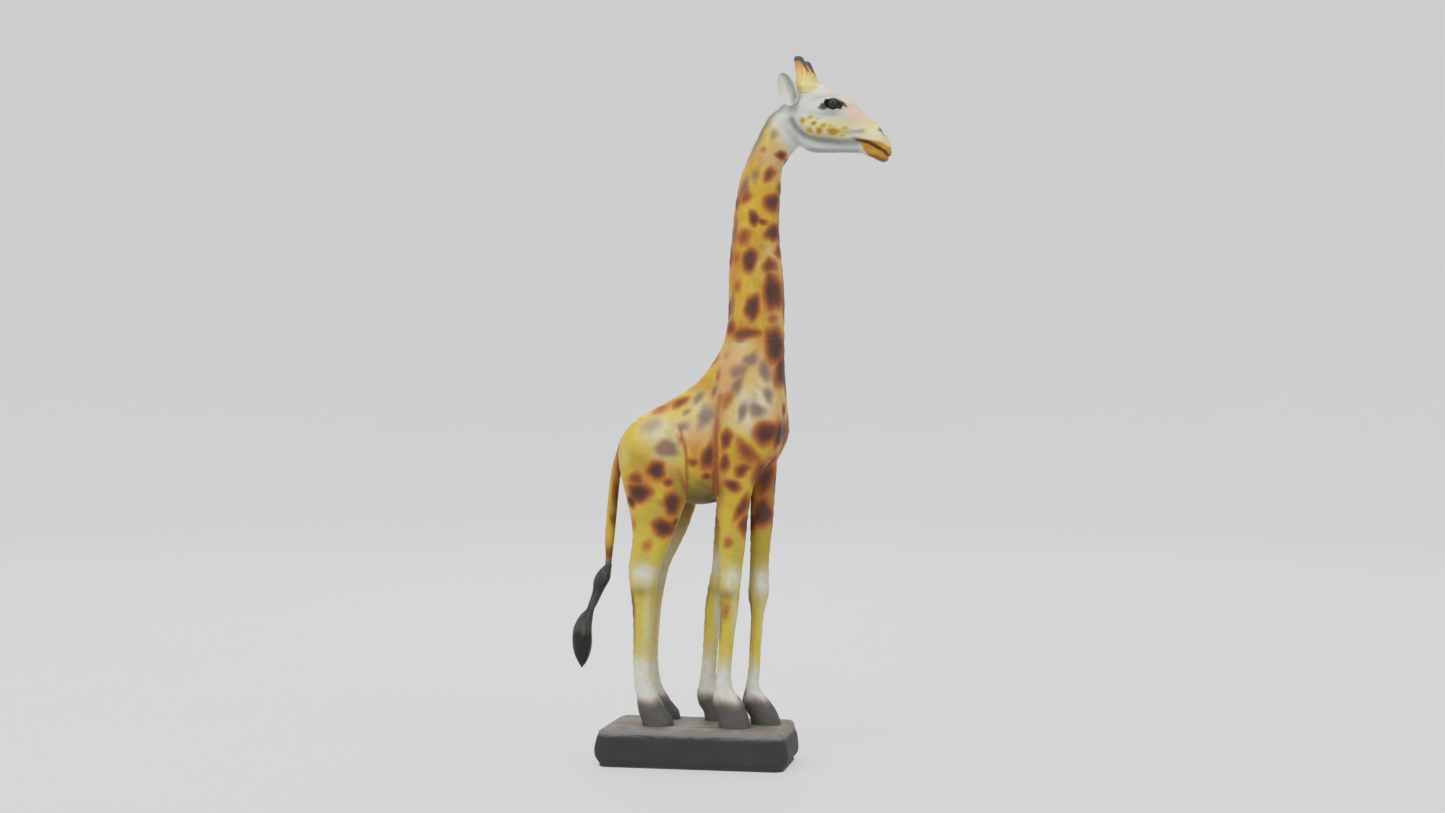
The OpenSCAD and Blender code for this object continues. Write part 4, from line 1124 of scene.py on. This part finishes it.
def horn_paint(paints):
    """Cream at the foot, orange streaks up the shaft, and a charcoal tip that runs down the front edge."""
    r = Recipe("Horn paint")
    streak = r.noise(1.0, 5, 0.6, r.stretched((520, 520, 80), (0, 0.15, 0)))
    cloud = r.noise(150, 3)
    up = r.painted("up")
    base = r.mix(paints.white, paints.face_cream, (up + 0.5 * (cloud - 0.5)).between(-0.3, 0.1))
    base = r.mix(base, paints.horn_orange, (up + 1.3 * (streak - 0.5)).between(0.25, 0.75))
    base = r.mix(base, paints.lips, streak.between(0.56, 0.66) * up.between(0.3, 0.7) * 0.7)
    base = r.mix(base, paints.hoof, (r.painted("tip") + 0.5 * (streak - 0.5)).between(0.25, 0.8))
    return r.finish(base, 0.38 + 0.2 * streak, streak + 0.5 * cloud, 0.35, 0.0007, Coat_Weight=0.2,
                    Coat_Roughness=0.3)


def tuft_paint(paints):
    """Charcoal, greyer along the raised strands."""
    r = Recipe("Tuft paint")
    strand = r.noise(1.0, 5, 0.6, r.stretched((500, 500, 60)))
    # Greyer where the strands are raised
    base = r.mix(paints.tuft, paints.tuft_grey, (strand + r.painted("ridge") * 0.5).between(0.35, 0.8))
    dipped = r.painted("dipped")
    base = r.mix(base, paints.tuft_black, dipped * (0.75 + 0.3 * strand))
    return r.finish(base, 0.5 + 0.2 * strand - 0.32 * dipped, strand, 0.5, 0.0008, Coat_Weight=0.12,
                    Coat_Roughness=0.3, Specular_IOR_Level=0.3)


def plinth_paint(paints):
    """Charcoal sides, and a top rubbed to brown and grey along the grain, with paler edges and a painted
    shadow round each hoof.
    """
    r = Recipe("Plinth paint")
    grain = r.noise(1.0, 6, 0.62, r.stretched((22, 150, 150)))
    fine = r.noise(1.0, 4, 0.6, r.stretched((90, 700, 700)))
    cloud = r.noise(28, 4, 0.6)
    side = r.mix(paints.charcoal, paints.charcoal_worn, (cloud + 0.5 * (fine - 0.5)).between(0.55, 0.8) * 0.5)
    top = r.mix(paints.top_grey, paints.top_brown, (cloud + 0.9 * (grain - 0.5)).between(0.38, 0.62))
    top = r.mix(top, paints.top_dark, grain.between(0.56, 0.7) * 0.65)
    top = r.mix(top, paints.top_pale, (grain + 0.4 * (fine - 0.5)).between(0.47, 0.32) * 0.6)
    base = r.mix(side, top, (r.painted("top") + 0.3 * (grain - 0.5)).between(0.3, 0.7))
    # Paler along the plinth's edges
    base = r.mix(base, paints.top_pale, r.painted("pale_edge") * (0.3 + 1.2 * fine.between(0.4, 0.62)) * 0.8)
    # Painted shadow round the hooves
    base = r.mix(base, paints.charcoal, r.painted("hoof_shadow") * 0.75)
    height = 0.7 * grain + 0.3 * fine + 0.5 * cloud
    return r.finish(base, 0.5 + 0.25 * grain, height, 0.5, 0.001, Coat_Weight=0.08, Coat_Roughness=0.4,
                    Specular_IOR_Level=0.35)


def eye_glass(paints):
    """Dark glass, a little dulled, with a faint grey ring round the pupil, under a thin clear coat."""
    r = Recipe("Eye glass")
    ring = r.painted("iris")
    base = r.mix(paints.eye_black, paints.iris, ring * (0.5 + 0.6 * r.noise(900, 3)))
    return r.finish(base, 0.28 + 0.1 * r.noise(500, 2), Coat_Weight=0.2, Coat_Roughness=0.12,
                    Specular_IOR_Level=0.3)


def felt_cloth(paints):
    """Brown felt: two sizes of fibre speckle, rough, with a soft sheen."""
    r = Recipe("Felt")
    fibre = r.noise(1100, 4, 0.7)
    patch = r.noise(180, 4)
    base = r.mix(paints.felt, paints.top_dark, (fibre + 0.5 * (patch - 0.5)).between(0.4, 0.7) * 0.6)
    return r.finish(base, 0.9 + 0.08 * fibre, fibre, 0.6, 0.0006, Sheen_Weight=0.4)


def bare_wood(paints):
    """Pale dowel wood: long streaks of grain with fine pores, unvarnished."""
    r = Recipe("Bare wood")
    grain = r.noise(1.0, 5, 0.6, r.stretched((350, 350, 30)))
    pore = r.noise(1.0, 3, 0.7, r.stretched((1800, 1800, 90)))
    base = r.mix(paints.wood, paints.wood_dark, (grain + 0.4 * (pore - 0.5)).between(0.42, 0.66))
    return r.finish(base, 0.6 + 0.2 * grain, pore + grain, 0.3, 0.0004)


def plated_steel(paints):
    """Zinc-plated steel with turning marks and a little mottling."""
    r = Recipe("Plated steel")
    lines = r.noise(1.0, 3, 0.6, r.stretched((200, 200, 2600)))
    base = r.mix(paints.steel, paints.tuft_grey, r.noise(500, 3).between(0.5, 0.75) * 0.4)
    return r.finish(base, 0.22 + 0.2 * lines, lines, 0.15, 0.0002, Metallic=1.0)


# ---- Ears, horns, eyes and plinth ------------------------------------------

EAR_SPOT = (80.6, 21.0, 569.6)           # middle of the leaf
EAR_CUP = 5.2                            # how far the middle of the leaf is sunk
EAR_LEAN = math.radians(19)              # backwards from upright
STALK_REACH = 7.5                        # how far the foot runs in to the head
HORN_LINES = {  # node: foot x, z and tip x, z, and the side
    "right_horn": ((95.0, 573.0), (88.8, 599.0), -1),
    "left_horn": ((98.6, 573.0), (91.8, 598.4), 1),
}
HORN_FLARE = 2.4
HORN_FOOT_Y = 8.0
HORN_SPREAD = 3.6                        # how much further out the tips are than the feet


def ear_grid(side, sizes):
    """A cupped leaf.

    Its middle surface is centre + L t up + B(t) w across, with B = half width * (1 - |t|^2.4)^0.6, sunk by
    cup * (1 - w²) B / half width. Ring angle a gives w = cos a and a wall of sin a times a thickness that
    grows to a rolled rim. The foot narrows to a stalk that enters the head.
    """
    t = np.sin(np.linspace(-1.45, 1.45, 90))[:, None] / math.sin(1.45) * 0.985
    a = turns(96)
    w, skin = np.cos(a)[None, :], np.sin(a)[None, :]
    length, half_width = sizes.ear_length * 500, sizes.ear_width * 500
    wide = half_width * (1 - np.abs(t) ** 2.4) ** 0.6 * (1 - 0.16 * t)
    wall = sizes.ear_wall * 500 * (0.7 + 0.85 * eased(np.abs(w), 0.6, 0.85))
    wall = wall * np.minimum(1, 0.35 + wide / half_width)
    cup = EAR_CUP * (1 - w ** 2) * wide / half_width
    inner = (skin > 0) * 0.8 * np.exp(-(w / 0.28) ** 2) * (1 - t ** 2)
    out = -cup + skin * wall + inner
    across = wide * w
    up = length * t + 1.6 * np.abs(w) * wide / half_width
    splay = math.radians(sizes.ear_splay)
    forward = across * math.cos(splay) - out * math.sin(splay)
    sideways = across * math.sin(splay) + out * math.cos(splay)
    x = EAR_SPOT[0] - up * math.sin(EAR_LEAN) + forward * math.cos(EAR_LEAN)
    z = EAR_SPOT[2] + up * math.cos(EAR_LEAN) + forward * math.sin(EAR_LEAN)
    stalk = (1 - eased(t, -0.85, -0.3)) * eased(across, -3, half_width)
    y = EAR_SPOT[1] + sideways - 3.0 * t - STALK_REACH * stalk
    # cupped marks the painted shade on the inner side of the cup
    cupped = (skin > 0) * (1 - eased(np.abs(w), 0.5, 0.95)) * np.ones_like(t)
    rim = eased(np.abs(w), 0.75, 0.95) * np.ones_like(t)
    grid = np.stack((x, side * y, z), axis=-1)
    return grid, {"cup": cupped * eased(w, -0.55, 0.7), "rim": rim}


def horn_grid(node, sizes):
    """A round taper along its line.

    Its radius is tip + (foot - tip)(1 - s)^1.25, plus a flare * e^(-s / 0.2) into the head. A dome closes
    it, and a twist of waves dents it.
    """
    (foot_x, foot_z), (tip_x, tip_z), side = HORN_LINES[node]
    s = np.linspace(-0.22, 1, 90)[:, None]
    turn = turns(72)[None, :]
    tip, foot = sizes.horn_tip * 500, sizes.horn_foot * 500
    c = np.clip(s, 0, 1)
    radius = tip + (foot - tip) * (1 - c) ** 1.25 + HORN_FLARE * np.exp(-c / 0.2)
    radius = radius * (1 + 0.025 * np.sin(5 * turn + 3 * s) + 0.02 * np.sin(2 * turn - 7 * s))
    dome = np.sqrt(np.clip(1 - ((s - 0.9) / 0.103).clip(0, None) ** 2, 0.01, 1))
    radius = radius * dome
    x = foot_x + (tip_x - foot_x) * s + radius * np.cos(turn)
    y = side * (HORN_FOOT_Y + HORN_SPREAD * s + radius * np.sin(turn) * 0.92)
    z = foot_z + (tip_z - foot_z) * s + 0 * turn
    front = np.clip(np.cos(turn), 0, 1)
    mark = {"up": c + 0 * turn, "tip": eased(s + 0.38 * front ** 2, 0.68, 0.95) + 0 * turn}
    return np.stack((x, y, z), axis=-1), mark


def eye_grid(node):
    """A ball, centre + radius * (sin b cos a, ± cos b, sin b sin a).

    Its poles point away from the head and into it, and the iris is a ring of angles round the outer pole.
    """
    low, high = (np.array(corner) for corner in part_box(node))
    centre, radius = (low + high) / 2, (high - low).max() / 2
    b = np.linspace(0.04, math.pi - 0.04, 48)[:, None]
    a = turns(64)[None, :]
    side = 1 if centre[1] > 0 else -1
    way = np.stack((np.sin(b) * np.cos(a), side * np.cos(b) + 0 * a, np.sin(b) * np.sin(a)), -1)
    grid = centre + radius * way
    iris = eased(b, 0.3, 0.4) * (1 - eased(b, 0.55, 0.7)) + 0 * a
    return grid, {"iris": iris}


PLINTH_CORNER = 9.0
PLINTH_SLOPE_DROP = 6                    # from the crown down to the outer edge
PLINTH_SIDES = 480


def plinth_outline(half):
    """A rounded rectangle, evenly spaced: a core rectangle plus corner radius * (cos, sin) of an angle.

    Core and angle run in straight lines between the ends of the four sides and the four corners.
    """
    run = half - PLINTH_CORNER
    corner = math.pi * PLINTH_CORNER / 2
    stops = np.concatenate(([0], np.cumsum([2 * run[1], corner, 2 * run[0], corner] * 2)))
    d = turns(PLINTH_SIDES) / (2 * np.pi) * stops[-1]
    core_x = np.interp(d, stops, run[0] * np.array([1, 1, 1, -1, -1, -1, -1, 1, 1]))
    core_y = np.interp(d, stops, run[1] * np.array([-1, 1, 1, 1, 1, -1, -1, -1, -1]))
    angle = np.interp(d, stops, np.pi / 2 * np.array([0, 0, 1, 1, 2, 2, 3, 3, 4]))
    out = np.stack((np.cos(angle), np.sin(angle)), -1)
    return np.stack((core_x, core_y), -1) + PLINTH_CORNER * out, out


def plinth_grid(sizes):
    """A carved block.

    Its rings rise up the sides, bulge in the middle, turn over an edge and shrink to the middle of the top,
    which climbs to the crown over the slope of the nearest side. Sine waves leave it a little uneven.
    """
    low, high = (1000 * np.array(corner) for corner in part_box("plinth"))
    half = (high[:2] - low[:2]) / 2
    centre = (high[:2] + low[:2]) / 2
    crown = high[2]
    shoulder = crown - PLINTH_SLOPE_DROP
    outline, out = plinth_outline(half)
    rise = np.linspace(0, 1, 60)[:, None]
    bulge = -0.2 - 1.0 * (1 - eased(rise, 0, 0.2)) - 0.6 * eased(rise, 0.8, 1)
    ends = np.abs(out[:, 0])[None, :] ** 4
    bulge = bulge + ends * (2.6 * np.sin(np.pi * rise ** 0.9) - 1.2 * (1 - eased(rise, 0, 0.3)))
    walls = outline[None] + out[None] * bulge[..., None]
    wall_z = low[2] + (shoulder - 0.8 - low[2]) * rise
    wave = np.sin(0.11 * walls[..., 0] + 1) * np.sin(0.21 * wall_z + 0.13 * walls[..., 1])
    walls = walls + out[None] * (0.45 * wave * np.sin(np.pi * rise) - 0.15)[..., None]
    wall_z = wall_z + 0 * walls[..., 0]
    shrink = (1 - np.linspace(0, 1, 92)[1:-1] ** 1.15)[:, None, None]
    top = walls[-1] * shrink
    edge_front = (half[0] - top[..., 0]) / sizes.plinth_front / 1000
    edge_back = (half[0] + top[..., 0]) / sizes.plinth_back / 1000
    edge_side = (half[1] - np.abs(top[..., 1])) / sizes.plinth_side / 1000
    nearest = np.minimum(np.minimum(edge_front, edge_back), edge_side)
    climb = 1 - (1 - np.clip(nearest, 0, 1)) ** 2.1
    top_z = shoulder + (crown - shoulder) * climb
    top_z = top_z - 0.25 - 0.25 * np.sin(0.35 * top[..., 1] + 0.06 * top[..., 0]) * np.sin(0.09 * top[..., 0])
    grid = np.concatenate((
        np.concatenate((walls + centre, wall_z[..., None]), -1),
        np.concatenate((top + centre, top_z[..., None]), -1)))
    on_top = np.concatenate((np.zeros(wall_z.shape), np.ones(top_z.shape)))
    on_top[len(rise) - 1] = 0.5
    ring = np.arange(len(grid))[:, None] - (len(rise) - 1)
    from_edge = np.concatenate((np.ones(wall_z.shape), nearest))
    # Paler bands where the sides turn over onto the top, and along the top's edge
    pale_edge = np.exp(-(ring / 3.5) ** 2) + 0.6 * np.exp(-(from_edge / 0.35) ** 2) * on_top
    # Painted shadow on the top round each hoof
    hoof_shadow = np.zeros(on_top.shape)
    for rows, side in LEGS.values():
        foot = rows[-1]
        middle = (foot[0] + foot[2]) / 2
        q = ((grid[..., 0] - middle) / 17) ** 2 + ((grid[..., 1] - side * foot[4]) / 13) ** 2
        hoof_shadow = np.maximum(hoof_shadow, np.exp(-q * q))
    return grid / 1000, {"top": on_top, "pale_edge": np.clip(pale_edge, 0, 1), "hoof_shadow": 0.55 * hoof_shadow * on_top}


# ---- Sizes and paints a user would change ----------------------------------


def length_of(name, description, default):
    return bpy.props.FloatProperty(name=name, description=description, default=default, min=0.0,
                                   precision=4, subtype="DISTANCE", unit="LENGTH")


def paint_of(name, description, default):
    return bpy.props.FloatVectorProperty(name=name, description=description, default=default,
                                         min=0.0, max=1.0, size=3, subtype="COLOR")


class GiraffeSizes(bpy.types.PropertyGroup):
    """Sizes of the carving. Table sizes are in millimetres of the drawing."""

    spacing: bpy.props.FloatProperty(
        name="Spacing", description="Distance between rings of the carving, in millimetres of the drawing",
        default=0.85, min=0.5, max=4.0)
    carving: bpy.props.FloatProperty(
        name="Carving", description="How deep bumps and grooves are, 1 being as drawn",
        default=1.0, min=0.0, max=2.0, subtype="FACTOR")
    fillet: bpy.props.FloatProperty(
        name="Fillet", default=6.0, min=0.5, max=12.0,
        description="How far a leg's root blends into the trunk, in millimetres of the drawing")
    ear_length: length_of("Ear length", "From an ear's foot to its tip", 0.030)
    ear_width: length_of("Ear width", "Across the widest part of an ear", 0.0172)
    ear_wall: length_of("Ear wall", "Thickness of an ear's wall", 0.0024)
    ear_splay: bpy.props.FloatProperty(
        name="Ear splay", description="How far the cup turns forward, in degrees", default=10.0)
    horn_foot: length_of("Horn foot", "Diameter of a horn at its foot", 0.0145)
    horn_tip: length_of("Horn tip", "Diameter of a horn under its rounded tip", 0.0078)
    plinth_front: length_of("Front slope", "Length of the slope at the plinth's front", 0.009)
    plinth_back: length_of("Back slope", "Length of the slope at the plinth's back", 0.016)
    plinth_side: length_of("Side slope", "Width of the slopes along the plinth's sides", 0.007)


class GiraffePaints(bpy.types.PropertyGroup):
    """The paints, from the coat down to the floor."""

    ground: paint_of("Ground", "Yellow of the coat", paint(210, 185, 60))
    gold: paint_of("Gold", "Deeper patches of the coat", paint(204, 166, 48))
    lemon: paint_of("Lemon", "Lighter yellow of the shanks", paint(202, 187, 78))
    orange: paint_of("Orange", "Washes along creases and edges", paint(184, 104, 40))
    # Olive of the painted shade under the belly and between the legs
    olive_shade: paint_of("Olive", "Shaded washes of the belly", paint(112, 96, 34))
    # Cream of the painted sheen on the back and shoulder
    cream: paint_of("Cream", "Pale washes of the back", paint(214, 208, 180))
    # Pink of the painted sheen on the withers
    pink_sheen: paint_of("Pink", "Flesh washes of the withers", paint(210, 160, 134))
    # Grey-purple of the painted sheen
    sheen_lilac: paint_of("Lilac", "Grey-purple clouds in the pale washes", paint(160, 136, 130))
    white: paint_of("White", "Face, knees and fetlocks", paint(210, 211, 205))
    # Spots greyed by the painted sheen
    spot_under_sheen: paint_of("Smoke", "Grey spots under the pale washes", paint(118, 94, 90))
    halo: paint_of("Halo", "Warm edge of a spot", paint(156, 84, 34))
    spot: paint_of("Spot", "Middle of a spot", paint(76, 46, 36))
    spot_warm: paint_of("Warm spot", "Thinner parts of a spot", paint(112, 58, 36))
    crease: paint_of("Crease", "Where the legs meet the trunk", paint(118, 56, 36))
    # Colour of the painted shade under the belly and inside the legs
    shade: paint_of("Shade", "Belly and the insides of the legs", paint(104, 86, 48))
    hoof: paint_of("Hoof", "Hooves, nape and horn tips", paint(86, 84, 81))
    hoof_brown: paint_of("Hoof brown", "Where white runs into the hooves", paint(124, 108, 96))
    dust: paint_of("Dust", "Pale specks over everything", paint(222, 216, 196))
    face_cream: paint_of("Face cream", "Yellowed parts of the face", paint(226, 210, 142))
    blush: paint_of("Blush", "Bridge of the nose", paint(220, 176, 148))
    face_grey: paint_of("Face grey", "Shadows of the face", paint(104, 110, 110))
    amber: paint_of("Amber", "Dabs on the cheek", paint(160, 124, 36))
    amber_halo: paint_of("Amber halo", "Yellow round the dabs", paint(212, 192, 104))
    lips: paint_of("Lips", "Round the mouth", paint(206, 152, 44))
    # Brown of the mouth line and of the painted shade under the chin
    lip_line_and_shade_brown: paint_of("Lip brown", "Along the mouth and under the chin", paint(122, 78, 28))
    eye_black: paint_of("Eye black", "Lids, lashes and pupils", paint(30, 32, 34))
    iris: paint_of("Iris", "Ring round the pupil", paint(34, 37, 40))
    ear_rim: paint_of("Ear rim", "Off-white of the ears", paint(208, 208, 202))
    horn_orange: paint_of("Horn orange", "Shafts of the horns", paint(218, 146, 58))
    tuft: paint_of("Tuft", "Charcoal of the tuft", paint(50, 48, 46))
    tuft_black: paint_of("Tuft black", "Dipped end of the tuft", paint(24, 23, 22))
    # Grey of the tuft's raised strands, also the mottling of the steel
    tuft_grey: paint_of("Tuft grey", "Dry brushing on the tuft", paint(92, 90, 88))
    charcoal: paint_of("Charcoal", "Sides of the plinth", paint(52, 53, 55))
    charcoal_worn: paint_of("Worn charcoal", "Rubbed parts of the sides", paint(72, 73, 74))
    top_grey: paint_of("Top grey", "Rubbed top of the plinth", paint(146, 143, 137))
    top_brown: paint_of("Top brown", "Brown of the plinth's top", paint(134, 120, 108))
    top_dark: paint_of("Top dark", "Dark grain of the plinth's top", paint(94, 86, 80))
    # Paler edges of the plinth's top, and pale streaks in its grain
    top_pale: paint_of("Top pale", "Worn edges of the plinth", paint(130, 130, 129))
    felt: paint_of("Felt", "Felt under the plinth", paint(64, 46, 36))
    wood: paint_of("Wood", "Bare dowels", paint(206, 170, 120))
    wood_dark: paint_of("Wood grain", "Grain of the dowels", paint(170, 126, 80))
    steel: paint_of("Steel", "Screws and pin", paint(190, 192, 194))
    floor: paint_of("Floor", "Floor and wall of the stage", paint(100, 100, 100))
    floor_shade: paint_of("Floor shade", "Faint clouding of the floor", paint(98, 98, 98))


# ---- Operators -------------------------------------------------------------


class GIRAFFE_OT_body(bpy.types.Operator):
    """Torso, neck and head, carved as one and cut at their joints"""

    bl_idname = "giraffe.body"
    bl_label = "Body"

    def execute(self, context):
        shapes, paints = carved(context.scene.giraffe_sizes), context.scene.giraffe_paints
        hide, face = hide_paint("Hide paint", paints), hide_paint("Face paint", paints, face=True)
        for node, flat in (("torso", (False, True)), ("neck", (True, True)), ("head", (True, False))):
            grid, near = shapes[node]
            values = hide_values(node, grid, near)
            if node == "head":
                values.update(face_values(grid))
            piece = closed_mesh("carved_" + node, grid, values, flat)
            stand_for(piece, node,
                      face if node == "head" else hide)
        return {"FINISHED"}


class GIRAFFE_OT_legs(bpy.types.Operator):
    """The five legs with their hooves"""

    bl_idname = "giraffe.legs"
    bl_label = "Legs"

    def execute(self, context):
        shapes = carved(context.scene.giraffe_sizes)
        hide = hide_paint("Leg paint", context.scene.giraffe_paints)
        for node in LEGS:
            grid, near = shapes[node]
            piece = closed_mesh("carved_" + node, grid, hide_values(node, grid, near), (False, True))
            stand_for(piece, node, hide)
        return {"FINISHED"}


class GIRAFFE_OT_tail(bpy.types.Operator):
    """Tail, its tuft and the wire pin between them"""

    bl_idname = "giraffe.tail"
    bl_label = "Tail"

    def execute(self, context):
        shapes, paints = carved(context.scene.giraffe_sizes), context.scene.giraffe_paints
        grid, near = shapes["tail"]
        stand_for(closed_mesh("carved_tail", grid, hide_values("tail", grid, near)), "tail",
                  hide_paint("Tail paint", paints))
        grid, near = shapes["tail_tuft"]
        smooth = (np.roll(grid, 4, 1) + np.roll(grid, -4, 1)) / 2
        ridge = ((grid - smooth) * normals_of(grid)).sum(-1)
        end = 1 - eased(grid[..., 2] + 1.5 * np.sin(0.5 * grid[..., 0]), 105, 111)
        collar = np.exp(-((grid[..., 2] - 148) / 7) ** 2)
        values = {"ridge": np.clip(ridge * 1.5, -1, 1), "dipped": np.maximum(end, 0.7 * collar)}
        stand_for(closed_mesh("carved_tail_tuft", grid, values), "tail_tuft",
                  tuft_paint(paints))
        finish_cad_nodes(("tuft_pin",), plated_steel(paints))
        return {"FINISHED"}


class GIRAFFE_OT_ears(bpy.types.Operator):
    """The two cupped ears"""

    bl_idname = "giraffe.ears"
    bl_label = "Ears"

    def execute(self, context):
        material = ear_paint(context.scene.giraffe_paints)
        for node, side in (("right_ear", -1), ("left_ear", 1)):
            grid, values = ear_grid(side, context.scene.giraffe_sizes)
            stand_for(closed_mesh("carved_" + node, grid, values), node, material)
        return {"FINISHED"}


class GIRAFFE_OT_horns(bpy.types.Operator):
    """The two tapered horns"""

    bl_idname = "giraffe.horns"
    bl_label = "Horns"

    def execute(self, context):
        material = horn_paint(context.scene.giraffe_paints)
        for node in HORN_LINES:
            grid, values = horn_grid(node, context.scene.giraffe_sizes)
            stand_for(closed_mesh("carved_" + node, grid, values), node, material)
        return {"FINISHED"}


class GIRAFFE_OT_eyes(bpy.types.Operator):
    """The two glass eyes"""

    bl_idname = "giraffe.eyes"
    bl_label = "Eyes"

    def execute(self, context):
        material = eye_glass(context.scene.giraffe_paints)
        for node in ("right_eye", "left_eye"):
            grid, values = eye_grid(node)
            piece = closed_mesh("glass_" + node, grid, values, in_drawing=False)
            stand_for(piece, node, material)
        return {"FINISHED"}


class GIRAFFE_OT_plinth(bpy.types.Operator):
    """The plinth and the felt under it"""

    bl_idname = "giraffe.plinth"
    bl_label = "Plinth"

    def execute(self, context):
        paints = context.scene.giraffe_paints
        grid, values = plinth_grid(context.scene.giraffe_sizes)
        stand_for(closed_mesh("carved_plinth", grid, values, (True, False), in_drawing=False), "plinth",
                  plinth_paint(paints))
        finish_cad_nodes(("base_felt",), felt_cloth(paints))
        return {"FINISHED"}


class GIRAFFE_OT_joinery(bpy.types.Operator):
    """Finishes for the dowels and screws inside the wood"""

    bl_idname = "giraffe.joinery"
    bl_label = "Joinery"

    def execute(self, context):
        paints = context.scene.giraffe_paints
        finish_cad_nodes(("neck_dowel", "head_dowel", "leg_dowels", "middle_leg_dowel"), bare_wood(paints))
        finish_cad_nodes(("hoof_screws",), plated_steel(paints))
        return {"FINISHED"}


FLOOR_RADIUS = 2.6
WALL_BEND = 1.2                          # radius of the curve between floor and wall
WALL_RISE = 14                           # how steeply the wall goes on above the curve
LIGHTS = (  # name, place, size, power
    ("Key light", (-1.3, -2.1, 2.3), 1.6, 26),
    ("Fill light", (2.4, -1.4, 1.2), 1.8, 9),
    ("Back light", (-0.6, 2.2, 2.0), 1.6, 10),
)
LIGHTS_AIM = (0, 0, 0.3)
CAMERA_TURN = math.radians(10.65)
CAMERA_DISTANCE = 1.7156
CAMERA_SHIFT = (-0.0062, 0.0042)         # of its aim from the middle of the CAD box, in x and z


class GIRAFFE_OT_stage(bpy.types.Operator):
    """A pale floor that curves up into a wall, soft light and the camera"""

    bl_idname = "giraffe.stage"
    bl_label = "Stage"

    def execute(self, context):
        paints = context.scene.giraffe_paints
        a = turns(96)[None, :]
        s = np.linspace(0.02, 1, 80)[:, None]
        bend = np.clip((s - 0.55) / 0.25, 0, 1) * np.pi / 2
        radius = np.where(s < 0.55, s / 0.55 * FLOOR_RADIUS, FLOOR_RADIUS + WALL_BEND * np.sin(bend))
        height = np.where(s < 0.55, 0, WALL_BEND * (1 - np.cos(bend))) + np.clip(s - 0.8, 0, 1) * WALL_RISE
        grid = np.stack((radius * np.cos(a), radius * np.sin(a), height + 0 * a), -1)
        number, _, quads = ring_quads(*grid.shape[:2])
        mesh = bpy.data.meshes.new("studio_floor")
        mesh.from_pydata(grid.reshape(-1, 3).tolist(), [], quads.tolist() + [number[0].tolist()])
        mesh.polygons.foreach_set("use_smooth", np.ones(len(mesh.polygons), bool))
        floor = bpy.data.objects.new("studio_floor", mesh)
        context.scene.collection.objects.link(floor)
        r = Recipe("Studio floor")
        tint = r.mix(paints.floor, paints.floor_shade, r.noise(3, 3))
        mesh.materials.append(r.finish(tint, 0.9, Emission_Color=(1, 1, 1), Emission_Strength=0.50))

        world = bpy.data.worlds.new("Soft studio")
        world.use_nodes = True
        background = world.node_tree.nodes["Background"]
        background.inputs["Color"].default_value = (1, 1, 1, 1)
        background.inputs["Strength"].default_value = 1.0
        context.scene.world = world
        context.scene.view_settings.view_transform = "Standard"
        for name, spot, size, power in LIGHTS:
            light = bpy.data.lights.new(name, "AREA")
            light.size, light.energy = size, power
            lamp = bpy.data.objects.new(name, light)
            lamp.location = spot
            aim = mathutils.Vector(LIGHTS_AIM) - lamp.location
            lamp.rotation_euler = aim.to_track_quat("-Z", "Y").to_euler()
            context.scene.collection.objects.link(lamp)

        lens = bpy.data.cameras.new("Camera")
        lens.lens, lens.sensor_width, lens.clip_start = 50, 36, 0.05
        camera = bpy.data.objects.new("Camera", lens)
        low, high = np.array(CAD_BOX)
        aim_x = (low[0] + high[0]) / 2 + CAMERA_SHIFT[0]
        aim_z = (low[2] + high[2]) / 2 + CAMERA_SHIFT[1]
        camera.location = (aim_x + CAMERA_DISTANCE * math.sin(CAMERA_TURN),
                           -CAMERA_DISTANCE * math.cos(CAMERA_TURN), aim_z)
        camera.rotation_euler = (math.pi / 2, 0, CAMERA_TURN)
        context.scene.collection.objects.link(camera)
        context.scene.camera = camera
        return {"FINISHED"}


class GIRAFFE_PT_parts(bpy.types.Panel):
    """The giraffe's parts, in the order they are made"""

    bl_idname = "GIRAFFE_PT_parts"
    bl_label = "Carved giraffe"
    bl_space_type = "VIEW_3D"
    bl_region_type = "UI"
    bl_category = "Giraffe"

    def draw(self, context):
        for operator in OPERATORS:
            self.layout.operator(operator.bl_idname)
        for group in (context.scene.giraffe_sizes, context.scene.giraffe_paints):
            for key in group.__annotations__:
                self.layout.prop(group, key)


OPERATORS = (
    GIRAFFE_OT_body, GIRAFFE_OT_legs, GIRAFFE_OT_tail, GIRAFFE_OT_ears, GIRAFFE_OT_horns, GIRAFFE_OT_eyes,
    GIRAFFE_OT_plinth, GIRAFFE_OT_joinery, GIRAFFE_OT_stage,
)
CLASSES = (GiraffeSizes, GiraffePaints, *OPERATORS, GIRAFFE_PT_parts)


def register():
    for cls in CLASSES:
        bpy.utils.register_class(cls)
    bpy.types.Scene.giraffe_sizes = bpy.props.PointerProperty(type=GiraffeSizes)
    bpy.types.Scene.giraffe_paints = bpy.props.PointerProperty(type=GiraffePaints)


def unregister():
    del bpy.types.Scene.giraffe_paints
    del bpy.types.Scene.giraffe_sizes
    for cls in reversed(CLASSES):
        bpy.utils.unregister_class(cls)


def main():
    register()
    for operator in OPERATORS:
        family, name = operator.bl_idname.split(".")
        getattr(getattr(bpy.ops, family), name)()


if __name__ == "__main__":
    main()
